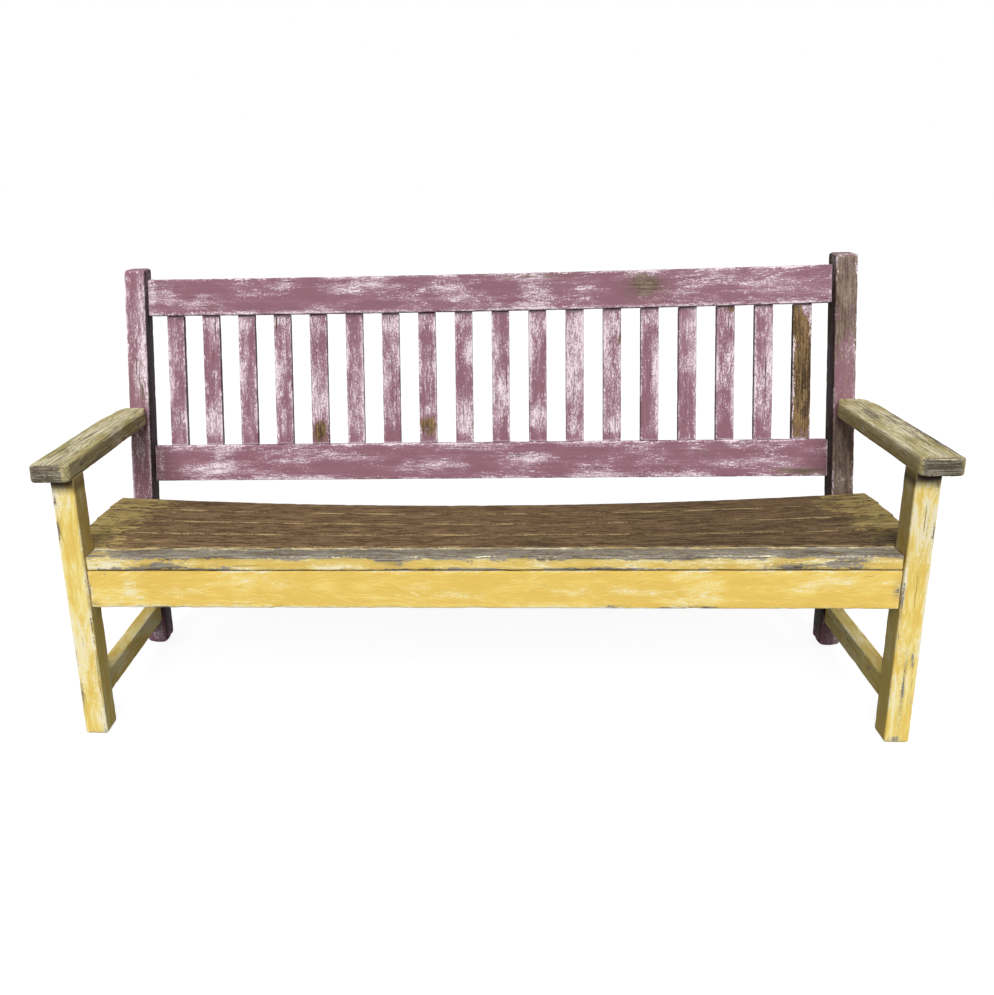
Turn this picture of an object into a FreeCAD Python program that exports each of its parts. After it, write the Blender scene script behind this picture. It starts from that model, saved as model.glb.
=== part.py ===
import FreeCAD, Part
import math
import os

os.makedirs("parts", exist_ok=True)

V = FreeCAD.Vector

# Frame sizes in millimetres, X along the bench, Y to the back, Z up
FRAME_WIDTH = 1740.0
LEG_WIDTH = 49.0
FRONT_LEG_DEPTH = 53.0
POST_WIDTH = 51.0
POST_DEPTH = 51.0
POST_SETBACK = 409.5
POST_TOP = 948.0
KNEE_HEIGHT = 344.0
KNEE_INNER_RADIUS = 150.0
RAKE_DEG = 11.5
EDGE_ROUND = 3.0
FOOT_ROUND = 4.0

# Armrests
ARM_UNDERSIDE = 581.0
ARM_THICKNESS = 38.0
ARM_WIDTH = 84.0
ARM_INSET = 1.0
ARM_OVERHANG = 15.0
ARM_FRONT_INNER_RADIUS = 13.0
ARM_FRONT_OUTER_RADIUS = 10.0
ARM_REAR_INNER_RADIUS = 24.0
ARM_REAR_OUTER_RADIUS = 40.0
ARM_EDGE_ROUND = 4.0
ARM_TENON_WIDTH = 24.0
ARM_TENON_THICKNESS = 14.0
ARM_TENON_LENGTH = 24.0
LEG_TENON_WIDTH = 22.0
LEG_TENON_DEPTH = 26.0
LEG_TENON_LENGTH = 20.0

# Back rails and slats, measured along the leaning posts from the knee
BACK_RAIL_HEIGHT = 89.0
LOWER_RAIL_RISE = 95.0
CREST_RAIL_RISE = 506.0
CREST_RAIL_SETBACK = 18.0
CREST_RAIL_THICKNESS = 30.0
LOWER_RAIL_SETBACK = 27.0
LOWER_RAIL_THICKNESS = 23.0
BACK_SLAT_COUNT = 18
BACK_SLAT_WIDTH = 43.0
BACK_SLAT_END_GAP = 42.15
BACK_SLAT_THICKNESS = 16.0
BACK_SLAT_SETBACK = 30.0
BACK_SLAT_ROUND = 2.0
BACK_TENON_HEIGHT = 55.0
BACK_TENON_LENGTH = 28.0
BACK_TENON_THICKNESS = 12.0
SLAT_TENON_WIDTH = 33.0
SLAT_TENON_THICKNESS = 9.0
SLAT_TENON_LENGTH = 15.0

# Seat frame
FRONT_RAIL_BOTTOM = 300.0
FRONT_RAIL_TOP = 384.0
FRONT_RAIL_SETBACK = 5.0
FRONT_RAIL_THICKNESS = 28.0
FRONT_TENON_HEIGHT = 64.0
FRONT_TENON_LENGTH = 28.0
SIDE_RAIL_THICKNESS = 30.0
SIDE_TENON_HEIGHT = 28.0
SIDE_TENON_LENGTH = 22.0
SIDE_TENON_RISE = 10.0
BEARER_WIDTH = 34.0
BEARER_DEPTH = 50.0
BEARER_TENON_HEIGHT = 26.0
BEARER_TENON_LENGTH = 15.0
STRETCHER_BOTTOM = 70.0
STRETCHER_HEIGHT = 50.0
STRETCHER_THICKNESS = 34.0
STRETCHER_TENON_HEIGHT = 30.0
STRETCHER_TENON_LENGTH = 24.0
RAIL_TENON_THICKNESS = 12.0

# Seat slats, with the fall to the back at the ends and at mid-length
FRONT_SLAT_THICKNESS = 32.0
FRONT_SLAT_SETBACK = 3.0
FRONT_SLAT_ROUND = 4.0
SEAT_SLAT_COUNT = 4
SEAT_SLAT_OVERHANG = 14.0
SEAT_SLAT_SPLAY = 4.0
SEAT_SLAT_THICKNESS = 24.0
SEAT_SLAT_GAP = 4.5
SEAT_SLAT_ROUND = 3.0
SEAT_STEP = 0.5
SEAT_REAR_OFFSET = 6.0
SEAT_FALL_ENDS = 16.0
SEAT_FALL_MIDDLE = 38.5

# Wire nails of the seat
NAIL_LENGTH = 60.0
NAIL_RADIUS = 1.4
NAIL_HEAD_RADIUS = 2.6
NAIL_HEAD_THICKNESS = 1.2
NAIL_SINK = 0.6
FRONT_NAIL_COUNT = 4
FRONT_NAIL_INSET = 221.0

# Clearances
JOINT_CLEARANCE = 0.2
END_CLEARANCE = 0.5
SEAT_REST_CLEARANCE = 0.05
NAIL_CLEARANCE = 0.1

# Values that follow from the sizes above
RAKE = math.radians(RAKE_DEG)
LEG_OUTER = FRAME_WIDTH / 2
LEG_INNER = LEG_OUTER - LEG_WIDTH
LEG_MIDDLE = (LEG_OUTER + LEG_INNER) / 2
POST_LEAN = (POST_TOP - KNEE_HEIGHT) * math.tan(RAKE)
DEPTH = ARM_OVERHANG + POST_SETBACK + POST_LEAN + POST_DEPTH / math.cos(RAKE)
LEG_FRONT = ARM_OVERHANG - DEPTH / 2
LEG_REAR = LEG_FRONT + FRONT_LEG_DEPTH
POST_FRONT = LEG_FRONT + POST_SETBACK
RAIL_FRONT = LEG_FRONT + FRONT_RAIL_SETBACK
RAIL_REAR = RAIL_FRONT + FRONT_RAIL_THICKNESS
RAIL_MIDDLE = (RAIL_FRONT + RAIL_REAR) / 2
SEAT_FRONT_TOP = FRONT_RAIL_TOP + FRONT_SLAT_THICKNESS
SEAT_REAR = POST_FRONT + SEAT_REAR_OFFSET
SLAT_PITCH = (SEAT_REAR - LEG_REAR) / SEAT_SLAT_COUNT
SUPPORT_X = LEG_MIDDLE - SIDE_RAIL_THICKNESS / 2
SEAT_SLAT_HALF = LEG_OUTER + SEAT_SLAT_OVERHANG
BACK_SLAT_LAST = LEG_INNER - BACK_SLAT_END_GAP - BACK_SLAT_WIDTH / 2
BACK_SLAT_PITCH = 2 * BACK_SLAT_LAST / (BACK_SLAT_COUNT - 1)
FRONT_NAIL_LAST = LEG_INNER - FRONT_NAIL_INSET
FRONT_NAIL_PITCH = 2 * FRONT_NAIL_LAST / (FRONT_NAIL_COUNT - 1)
ARM_TOP = ARM_UNDERSIDE + ARM_THICKNESS
ROOT = 4.0


def box(low, high):
    size = high - low
    return Part.makeBox(size.x, size.y, size.z, low)


def mortise(low, high):
    grow = V(JOINT_CLEARANCE, JOINT_CLEARANCE, JOINT_CLEARANCE)
    return box(low - grow, high + grow)


def rounded(shape, radius, direction):
    edges = []
    for edge in shape.Edges:
        if not isinstance(edge.Curve, Part.Line):
            continue
        if abs(edge.tangentAt(edge.FirstParameter).dot(direction)) > 0.999:
            edges.append(edge)
    return shape.makeFillet(radius, edges)


def mirrored(shape):
    return shape.mirror(V(0, 0, 0), V(1, 0, 0))


def lean(shape):
    """Tip a piece drawn upright, with its origin at the knee, to the lean of the posts."""
    tipped = shape.copy()
    tipped.rotate(V(0, 0, 0), V(1, 0, 0), -RAKE_DEG)
    tipped.translate(V(0, POST_FRONT, KNEE_HEIGHT))
    return tipped


def one_solid(shape, name):
    solids = shape.Solids
    if len(solids) != 1 or not shape.isValid():
        raise RuntimeError(name + " is not one sound solid")
    return solids[0]


def save(shape, name):
    one_solid(shape, name).exportStep("parts/" + name + ".step")


def save_pair(shape, name):
    save(shape, "right_" + name)
    save(mirrored(shape), "left_" + name)


# Seat surface, shared by the slats, the rails below them and the nails
def seat_height(y, x):
    back = (y - LEG_REAR) / (SEAT_REAR - LEG_REAR)
    middle = 1 - (x / SUPPORT_X) ** 2
    at_ends = SEAT_FALL_ENDS * back ** 2
    at_middle = SEAT_FALL_MIDDLE * back
    return SEAT_FRONT_TOP - SEAT_STEP - (1 - middle) * at_ends - middle * at_middle


def slat_edges(number):
    front = LEG_REAR + SLAT_PITCH * number + SEAT_SLAT_GAP
    rear = LEG_REAR + SLAT_PITCH * (number + 1)
    return front, rear


def slat_tilt(number, x):
    front, rear = slat_edges(number)
    return math.atan2(seat_height(rear, x) - seat_height(front, x), rear - front)


def slat_point(number, x, along, down):
    """Point on a slat: share of its width from the front, depth under its top face."""
    front, rear = slat_edges(number)
    tilt = slat_tilt(number, x)
    run = (rear - front) * along / math.cos(tilt)
    y = front + run * math.cos(tilt) + down * math.sin(tilt)
    z = seat_height(front, x) + run * math.sin(tilt) - down * math.cos(tilt)
    return V(x, y, z)


def slat_section(number, x):
    front, rear = slat_edges(number)
    width = (rear - front) / math.cos(slat_tilt(number, x))
    r = SEAT_SLAT_ROUND
    k = r * (1 - math.sqrt(0.5))
    t = SEAT_SLAT_THICKNESS
    spots = [(r, 0), (width - r, 0), (width - k, k), (width, r), (width, t - r)]
    spots += [(width - k, t - k), (width - r, t), (r, t), (k, t - k), (0, t - r), (0, r), (k, k)]
    p = [slat_point(number, x, across / width, down) for across, down in spots]
    edges = []
    for i in range(0, 12, 3):
        edges.append(Part.makeLine(p[i], p[i + 1]))
        edges.append(Part.Arc(p[i + 1], p[i + 2], p[(i + 3) % 12]).toShape())
    return Part.Wire(edges)


def seat_bearing(front, rear, bottom, x):
    """Outline of a rail under the slats, seen along the bench, with a flat for each slat."""
    down = SEAT_SLAT_THICKNESS + SEAT_REST_CLEARANCE
    outline = [V(0, rear, bottom[1]), V(0, front, bottom[0])]
    for number in range(SEAT_SLAT_COUNT):
        first = slat_point(number, x, 0, down)
        last = slat_point(number, x, 1, down)
        slope = (last.z - first.z) / (last.y - first.y)
        if number == 0:
            first = V(x, front, first.z + slope * (front - first.y))
        if number == SEAT_SLAT_COUNT - 1:
            last = V(x, rear, first.z + slope * (rear - first.y))
        outline.append(V(0, first.y, first.z))
        outline.append(V(0, last.y, last.z))
    return outline


def plate(outline, low_x, high_x):
    face = Part.Face(Part.makePolygon(outline + [outline[0]]))
    face.translate(V(low_x, 0, 0))
    return face.extrude(V(high_x - low_x, 0, 0))


# Nails: one shape, set along each slat's own upright
def nail_at(point, tilt, grow):
    head = Part.makeCylinder(NAIL_HEAD_RADIUS + grow, NAIL_HEAD_THICKNESS + 2 * grow)
    head.translate(V(0, 0, -NAIL_HEAD_THICKNESS - NAIL_SINK - grow))
    if grow:
        head = Part.makeCylinder(NAIL_HEAD_RADIUS + grow, NAIL_HEAD_THICKNESS + 10)
        head.translate(V(0, 0, -NAIL_HEAD_THICKNESS - NAIL_SINK - grow))
    shank = Part.makeCylinder(NAIL_RADIUS + grow, NAIL_LENGTH - NAIL_SINK + grow)
    shank.translate(V(0, 0, -NAIL_LENGTH - grow))
    nail = shank.fuse(head).removeSplitter()
    nail.rotate(V(0, 0, 0), V(1, 0, 0), math.degrees(tilt))
    nail.translate(point)
    return nail


nails = []
nail_holes = []
for number in range(SEAT_SLAT_COUNT):
    for x in (-LEG_MIDDLE, 0, LEG_MIDDLE):
        for along in (0.25, 0.75):
            spot = slat_point(number, x, along, 0)
            tilt = slat_tilt(number, x)
            nails.append(nail_at(spot, tilt, 0))
            nail_holes.append(nail_at(spot, tilt, NAIL_CLEARANCE))
for step in range(FRONT_NAIL_COUNT):
    spot = V(step * FRONT_NAIL_PITCH - FRONT_NAIL_LAST, RAIL_MIDDLE, SEAT_FRONT_TOP)
    nails.append(nail_at(spot, 0, 0))
    nail_holes.append(nail_at(spot, 0, NAIL_CLEARANCE))


def nailed(shape):
    """Cut the holes of the nails that pass through a piece."""
    near = [h for h in nail_holes if h.BoundBox.intersect(shape.BoundBox)]
    return shape.cut(near) if near else shape


# Tenons, each drawn once and cut again with its clearance
front_tenon_z = (FRONT_RAIL_BOTTOM + FRONT_RAIL_TOP - FRONT_TENON_HEIGHT) / 2
front_tenon = (
    V(LEG_INNER - ROOT, RAIL_MIDDLE - RAIL_TENON_THICKNESS / 2, front_tenon_z),
    V(LEG_INNER + FRONT_TENON_LENGTH, RAIL_MIDDLE + RAIL_TENON_THICKNESS / 2,
      front_tenon_z + FRONT_TENON_HEIGHT),
)
side_low_x = LEG_MIDDLE - RAIL_TENON_THICKNESS / 2
side_high_x = LEG_MIDDLE + RAIL_TENON_THICKNESS / 2
side_tenon_z = FRONT_RAIL_BOTTOM + SIDE_TENON_RISE
side_front_tenon = (
    V(side_low_x, LEG_REAR - SIDE_TENON_LENGTH, side_tenon_z),
    V(side_high_x, LEG_REAR + ROOT, side_tenon_z + SIDE_TENON_HEIGHT),
)
side_rear_tenon = (
    V(side_low_x, POST_FRONT - ROOT, side_tenon_z),
    V(side_high_x, POST_FRONT + SIDE_TENON_LENGTH, side_tenon_z + SIDE_TENON_HEIGHT),
)
stretcher_tenon_z = STRETCHER_BOTTOM + (STRETCHER_HEIGHT - STRETCHER_TENON_HEIGHT) / 2
stretcher_front_tenon = (
    V(side_low_x, LEG_REAR - STRETCHER_TENON_LENGTH, stretcher_tenon_z),
    V(side_high_x, LEG_REAR + ROOT, stretcher_tenon_z + STRETCHER_TENON_HEIGHT),
)
stretcher_rear_tenon = (
    V(side_low_x, POST_FRONT - ROOT, stretcher_tenon_z),
    V(side_high_x, POST_FRONT + STRETCHER_TENON_LENGTH, stretcher_tenon_z + STRETCHER_TENON_HEIGHT),
)
leg_middle_y = (LEG_FRONT + LEG_REAR) / 2
leg_tenon = (
    V(LEG_MIDDLE - LEG_TENON_WIDTH / 2, leg_middle_y - LEG_TENON_DEPTH / 2, ARM_UNDERSIDE - ROOT),
    V(LEG_MIDDLE + LEG_TENON_WIDTH / 2, leg_middle_y + LEG_TENON_DEPTH / 2,
      ARM_UNDERSIDE + LEG_TENON_LENGTH),
)
arm_middle_z = (ARM_UNDERSIDE + ARM_TOP) / 2
arm_butt = POST_FRONT + (arm_middle_z - KNEE_HEIGHT) * math.tan(RAKE)
arm_tenon = (
    V(LEG_MIDDLE - ARM_TENON_WIDTH / 2, arm_butt - 2 * ROOT, arm_middle_z - ARM_TENON_THICKNESS / 2),
    V(LEG_MIDDLE + ARM_TENON_WIDTH / 2, arm_butt + ARM_TENON_LENGTH,
      arm_middle_z + ARM_TENON_THICKNESS / 2),
)


def back_tenon(rise, setback, thickness):
    middle = setback + thickness / 2
    low = rise + (BACK_RAIL_HEIGHT - BACK_TENON_HEIGHT) / 2
    return (
        V(LEG_INNER - ROOT, middle - BACK_TENON_THICKNESS / 2, low),
        V(LEG_INNER + BACK_TENON_LENGTH, middle + BACK_TENON_THICKNESS / 2, low + BACK_TENON_HEIGHT),
    )


crest_tenon = back_tenon(CREST_RAIL_RISE, CREST_RAIL_SETBACK, CREST_RAIL_THICKNESS)
lower_tenon = back_tenon(LOWER_RAIL_RISE, LOWER_RAIL_SETBACK, LOWER_RAIL_THICKNESS)

# Front legs
leg = box(V(LEG_INNER, LEG_FRONT, 0), V(LEG_OUTER, LEG_REAR, ARM_UNDERSIDE))
leg = rounded(leg, EDGE_ROUND, V(0, 0, 1))
foot_edges = [e for e in leg.Edges if e.BoundBox.ZMax < 0.001]
leg = leg.makeFillet(FOOT_ROUND, foot_edges)
leg = leg.fuse(box(*leg_tenon))
leg = leg.cut([mortise(*front_tenon), mortise(*side_front_tenon), mortise(*stretcher_front_tenon)])
save_pair(leg, "front_leg")

# Rear posts, upright to the knee and leaning above it
outer_radius = KNEE_INNER_RADIUS + POST_DEPTH
knee_y = POST_FRONT + outer_radius
knee_z = KNEE_HEIGHT - outer_radius * math.tan(RAKE / 2)


def knee_point(radius, angle):
    return V(0, knee_y - radius * math.cos(angle), knee_z + radius * math.sin(angle))


def knee_arc(radius):
    return Part.Arc(knee_point(radius, 0), knee_point(radius, RAKE / 2), knee_point(radius, RAKE))


top_front = POST_FRONT + POST_LEAN
top_rear = top_front + POST_DEPTH / math.cos(RAKE)
post_rear = POST_FRONT + POST_DEPTH
post_edges = [
    Part.makeLine(V(0, POST_FRONT, 0), knee_point(outer_radius, 0)),
    knee_arc(outer_radius).toShape(),
    Part.makeLine(knee_point(outer_radius, RAKE), V(0, top_front, POST_TOP)),
    Part.makeLine(V(0, top_front, POST_TOP), V(0, top_rear, POST_TOP)),
    Part.makeLine(V(0, top_rear, POST_TOP), knee_point(KNEE_INNER_RADIUS, RAKE)),
    knee_arc(KNEE_INNER_RADIUS).toShape(),
    Part.makeLine(knee_point(KNEE_INNER_RADIUS, 0), V(0, post_rear, 0)),
    Part.makeLine(V(0, post_rear, 0), V(0, POST_FRONT, 0)),
]
post_face = Part.Face(Part.Wire(post_edges))
post_face.translate(V(LEG_INNER, 0, 0))
post_blank = post_face.extrude(V(POST_WIDTH, 0, 0))
long_edges = [e for e in post_blank.Edges if e.BoundBox.XLength < 0.001]
long_edges = [e for e in long_edges if e.BoundBox.ZLength > 1]
post = post_blank.makeFillet(EDGE_ROUND, long_edges)
top_edges = [e for e in post.Edges if e.BoundBox.ZMin > POST_TOP - 0.001]
foot_edges = [e for e in post.Edges if e.BoundBox.ZMax < 0.001]
post = post.makeFillet(EDGE_ROUND, top_edges + foot_edges)
post = post.cut([
    lean(mortise(*crest_tenon)),
    lean(mortise(*lower_tenon)),
    mortise(*side_rear_tenon),
    mortise(*stretcher_rear_tenon),
    mortise(*arm_tenon),
])
save_pair(post, "rear_post")

# Armrests, cut at the back to the lean of the post
arm_inner = LEG_INNER + ARM_INSET
arm_outer = arm_inner + ARM_WIDTH
arm_front = LEG_FRONT - ARM_OVERHANG
arm_back = POST_FRONT + (ARM_TOP - KNEE_HEIGHT) * math.tan(RAKE) + EDGE_ROUND
arm = box(V(arm_inner, arm_front, ARM_UNDERSIDE), V(arm_outer, arm_back, ARM_TOP))
corners = [
    (arm_inner, arm_front, ARM_FRONT_INNER_RADIUS),
    (arm_outer, arm_front, ARM_FRONT_OUTER_RADIUS),
    (arm_inner, arm_back, ARM_REAR_INNER_RADIUS),
    (arm_outer, arm_back, ARM_REAR_OUTER_RADIUS),
]
for corner_x, corner_y, radius in corners:
    edges = []
    for e in arm.Edges:
        b = e.BoundBox
        if b.ZLength > 1 and abs(b.Center.x - corner_x) < 0.01 and abs(b.Center.y - corner_y) < 0.01:
            edges.append(e)
    arm = arm.makeFillet(radius, edges)
arm = arm.makeFillet(ARM_EDGE_ROUND, [e for e in arm.Edges if e.BoundBox.ZLength < 0.001])
behind = lean(box(V(0, 0, -ARM_TOP), V(FRAME_WIDTH, FRAME_WIDTH, ARM_TOP)))
arm = arm.cut(behind)
arm = arm.fuse(box(*arm_tenon))
arm = arm.cut(mortise(*leg_tenon))
save_pair(arm, "armrest")

# Crest rail and lower back rail
slat_middle = BACK_SLAT_SETBACK + BACK_SLAT_THICKNESS / 2
slat_low = LOWER_RAIL_RISE + BACK_RAIL_HEIGHT
slat_high = CREST_RAIL_RISE


def slat_tenon(number):
    x = number * BACK_SLAT_PITCH - BACK_SLAT_LAST
    return (
        V(x - SLAT_TENON_WIDTH / 2, slat_middle - SLAT_TENON_THICKNESS / 2, slat_low - SLAT_TENON_LENGTH),
        V(x + SLAT_TENON_WIDTH / 2, slat_middle + SLAT_TENON_THICKNESS / 2, slat_high + SLAT_TENON_LENGTH),
    )


def back_rail(rise, setback, thickness, tenon):
    rail = box(V(-LEG_INNER, setback, rise), V(LEG_INNER, setback + thickness, rise + BACK_RAIL_HEIGHT))
    rail = rounded(rail, EDGE_ROUND, V(1, 0, 0))
    end = box(*tenon)
    rail = rail.fuse([end, mirrored(end)])
    return lean(rail.cut([mortise(*slat_tenon(n)) for n in range(BACK_SLAT_COUNT)]))


save(back_rail(CREST_RAIL_RISE, CREST_RAIL_SETBACK, CREST_RAIL_THICKNESS, crest_tenon), "crest_rail")
save(back_rail(LOWER_RAIL_RISE, LOWER_RAIL_SETBACK, LOWER_RAIL_THICKNESS, lower_tenon), "lower_back_rail")

# Back slats, tenoned into both rails
for number in range(BACK_SLAT_COUNT):
    low, high = slat_tenon(number)
    x = (low.x + high.x) / 2
    slat = box(
        V(x - BACK_SLAT_WIDTH / 2, BACK_SLAT_SETBACK, slat_low),
        V(x + BACK_SLAT_WIDTH / 2, BACK_SLAT_SETBACK + BACK_SLAT_THICKNESS, slat_high),
    )
    slat = rounded(slat, BACK_SLAT_ROUND, V(0, 0, 1))
    save(lean(slat.fuse(box(low, high))), "back_slat_%02d" % (number + 1))

# Front seat rail
bearer_tenon_z = (FRONT_RAIL_BOTTOM + FRONT_RAIL_TOP) / 2
bearer_tenon = (
    V(-RAIL_TENON_THICKNESS / 2, RAIL_REAR - BEARER_TENON_LENGTH, bearer_tenon_z),
    V(RAIL_TENON_THICKNESS / 2, RAIL_REAR + ROOT, bearer_tenon_z + BEARER_TENON_HEIGHT),
)
rail = box(V(-LEG_INNER, RAIL_FRONT, FRONT_RAIL_BOTTOM), V(LEG_INNER, RAIL_REAR, FRONT_RAIL_TOP))
rail = rounded(rail, EDGE_ROUND, V(1, 0, 0))
rail = rail.fuse([box(*front_tenon), mirrored(box(*front_tenon))])
rail = rail.cut(mortise(*bearer_tenon))
save(nailed(rail), "front_seat_rail")

# Side rails, with a flat for each slat end
outline = seat_bearing(LEG_REAR, SEAT_REAR + POST_DEPTH, (FRONT_RAIL_BOTTOM, FRONT_RAIL_BOTTOM), SUPPORT_X)
side = plate(outline, SUPPORT_X, SUPPORT_X + SIDE_RAIL_THICKNESS)
side = side.cut(post_blank)
side = [s for s in side.Solids if s.BoundBox.YMin < POST_FRONT - 1][0]
side = side.fuse([box(*side_front_tenon), box(*side_rear_tenon)])
save_pair(nailed(side), "side_rail")

# Middle bearer, its rear end dropped with the slats
bearer_front = bearer_tenon_z - (FRONT_RAIL_TOP - bearer_tenon_z - BEARER_TENON_HEIGHT)
bearer_rear = seat_height(SEAT_REAR, 0) - SEAT_SLAT_THICKNESS - BEARER_DEPTH
outline = seat_bearing(RAIL_REAR, SEAT_REAR, (bearer_front, bearer_rear), 0)
bearer = plate(outline, -BEARER_WIDTH / 2, BEARER_WIDTH / 2)
notch_low = V(-BEARER_WIDTH, LEG_FRONT, FRONT_RAIL_TOP - SEAT_REST_CLEARANCE)
bearer = bearer.cut(box(notch_low, V(BEARER_WIDTH, LEG_REAR + END_CLEARANCE, SEAT_FRONT_TOP)))
bearer = bearer.fuse(box(*bearer_tenon))
save(nailed(bearer), "middle_seat_bearer")

# Stretchers
stretcher = box(
    V(LEG_MIDDLE - STRETCHER_THICKNESS / 2, LEG_REAR, STRETCHER_BOTTOM),
    V(LEG_MIDDLE + STRETCHER_THICKNESS / 2, POST_FRONT, STRETCHER_BOTTOM + STRETCHER_HEIGHT),
)
stretcher = rounded(stretcher, EDGE_ROUND, V(0, 1, 0))
stretcher = stretcher.fuse([box(*stretcher_front_tenon), box(*stretcher_rear_tenon)])
save_pair(stretcher, "stretcher")

# Front seat slat, straight on the front rail
slat = box(
    V(-LEG_INNER + END_CLEARANCE, LEG_FRONT + FRONT_SLAT_SETBACK, FRONT_RAIL_TOP),
    V(LEG_INNER - END_CLEARANCE, LEG_REAR, SEAT_FRONT_TOP),
)
slat = rounded(slat, FRONT_SLAT_ROUND, V(1, 0, 0))
save(nailed(slat), "front_seat_slat")

# Seat slats behind it, sagging along the bench, each longer than the one in front
for number in range(SEAT_SLAT_COUNT):
    half = SEAT_SLAT_HALF + SEAT_SLAT_SPLAY * number
    sections = [slat_section(number, half * step / 4) for step in range(-4, 5)]
    slat = Part.makeLoft(sections, True, False)
    save(nailed(slat), "seat_slat_%d" % (number + 2))

# Seat nails, one group of separate solids
Part.makeCompound(nails).exportStep("parts/seat_nails.step")
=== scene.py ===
import math
from typing import NamedTuple

import bmesh
import bpy
import numpy
from bpy.props import FloatProperty, FloatVectorProperty, PointerProperty
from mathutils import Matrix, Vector, noise


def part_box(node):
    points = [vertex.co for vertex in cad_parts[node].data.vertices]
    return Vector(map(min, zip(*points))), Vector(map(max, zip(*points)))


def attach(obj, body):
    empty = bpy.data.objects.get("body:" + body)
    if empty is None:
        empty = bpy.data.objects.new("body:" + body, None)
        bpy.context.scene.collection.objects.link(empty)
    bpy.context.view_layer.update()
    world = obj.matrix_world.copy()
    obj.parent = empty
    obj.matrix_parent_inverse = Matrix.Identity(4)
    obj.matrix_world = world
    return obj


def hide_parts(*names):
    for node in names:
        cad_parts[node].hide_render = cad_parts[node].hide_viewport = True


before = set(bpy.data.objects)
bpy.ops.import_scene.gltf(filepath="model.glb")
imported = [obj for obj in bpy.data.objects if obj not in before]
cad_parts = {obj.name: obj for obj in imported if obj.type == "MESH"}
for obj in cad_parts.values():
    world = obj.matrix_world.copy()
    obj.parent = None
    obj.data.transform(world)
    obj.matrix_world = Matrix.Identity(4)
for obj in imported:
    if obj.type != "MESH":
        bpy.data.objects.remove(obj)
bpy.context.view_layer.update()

bl_info = {
    "name": "Painted slatted bench",
    "version": (1, 0, 0),
    "blender": (4, 5, 0),
    "location": "3D View > Sidebar > Bench",
    "description": "Models a worn, painted garden bench with arms around its timber frame",
    "category": "Object",
}

MM = 0.001
BODY = "root"
SLAT_COUNT = 18
SEAT_SLATS = (2, 3, 4, 5)

# Camera at the photograph's viewpoint, the floor and the light
CAMERA_PLACE = (0.018755, -2.06525, 1.163893)
CAMERA_TURN = (math.radians(73.7009), math.radians(1.6676), math.radians(3.7357))
CAMERA_SENSOR = 36
CAMERA_LENS = 34.627
CAMERA_SHIFT = (0.07423, -0.04872)
CAMERA_REACH = 100
FLOOR_SIZE = 40
FLOOR_SHADE = 0.16
FLOOR_GLOW = 0.9
KEY_TURN = (math.radians(48), 0, math.radians(-3))
KEY_STRENGTH = 3.85
BACK_TURN = (math.radians(-50), 0, 0)
BACK_STRENGTH = 0.7
LIGHT_SOFTNESS = math.radians(42)
END_LIGHT_OUT = 1.6
END_LIGHT_HEIGHT = 0.9
END_LIGHT_TURN = math.radians(75)
END_LIGHT_SIZE = 1
END_LIGHT_POWER = 4
WORLD_STRENGTH = 0.09

# Order of a timber's own axes: along the grain, across the face, through the thickness
RAIL_AXES = (0, 2, 1)
UPRIGHT_AXES = (2, 0, 1)
ARM_AXES = (1, 0, 2)
SEAT_AXES = (0, 1, 2)
SIDE_AXES = (1, 2, 0)

# Edges: share of an edge's length that runs along its axis, angle and cuts of an arris, cuts of the posts'
# knee, angle up to which faces are smooth, and the armrests' share of the mesh step
ALONG = 0.7
ARRIS_ANGLE = math.radians(60)
ARRIS_CUTS = 3
KNEE_CUTS = 8
SMOOTH_ANGLE = math.radians(40)
ARM_STEP_SHARE = 0.6

# Modelled wear: sizes of a raised fibre and of a chip, reach of chips from an edge, length of a sawn end
FIBRE_SIZE = numpy.array((80, 6, 6)) * MM
CHIP_SIZE = numpy.array((25, 20, 20)) * MM
CHIP_REACH = 4 * MM
SAWN_END = 2 * MM
SEED_STEP = (1.37, 0.73, 0.41)

# First seed of each kind of timber, and the depth of its raised grain and of its nibbled edges in mm
WEATHERING = {
    "front_leg": (1, 0.3, 2),
    "rear_post": (3, 0.3, 2),
    "armrest": (5, 0.9, 3),
    "crest_rail": (7, 0.3, 2),
    "lower_back_rail": (8, 0.3, 2),
    "back_slat": (10, 0.25, 1.5),
    "front_seat_rail": (31, 0.3, 3),
    "stretcher": (32, 0.4, 3),
    "side_rail": (34, 0.4, 2),
    "middle_seat_bearer": (36, 0.4, 2),
    "front_seat_slat": (41, 0.4, 4),
    "seat_slat": (50, 0.6, 2.5),
}

# Patterns: half width of a noise about its middle, length of a brush stroke's bend, width of an arris,
# and half the range of a tone
NOISE_SPREAD = 0.07
BEND_LENGTH = 260 * MM
ARRIS_WIDTH = 1.5 * MM
TONE_RANGE = 1.3

# Surfaces: dull sheen of old paint, bare wood and its grain, dirt and painted shade in the gaps and on
# shaded faces, rust of the nails
PAINT_SHEEN = 0.07
BARE_ROUGHNESS = 0.9
GRAIN_STRENGTH = 0.7
GRAIN_DEPTH = 0.8 * MM
DIRT_AND_SHADE = (0.026, 0.016, 0.014)
RUST_SHADE = 0.4
RUST_GRAIN = 0.5 * MM
RUST_DEPTH = 0.2 * MM


def linear(hex_colour):
    """sRGB hex to the linear colour that the shaders use."""
    parts = [int(hex_colour[i:i + 2], 16) / 255 for i in (1, 3, 5)]
    return tuple(p / 12.92 if p <= 0.04045 else ((p + 0.055) / 1.055) ** 2.4 for p in parts)


def length(name, description, millimetres):
    return FloatProperty(name=name, description=description, default=millimetres * MM, unit="LENGTH")


def colour(name, description, hex_colour):
    return FloatVectorProperty(name=name, description=description, subtype="COLOR", size=3,
                               min=0, max=1, default=linear(hex_colour))


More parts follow.
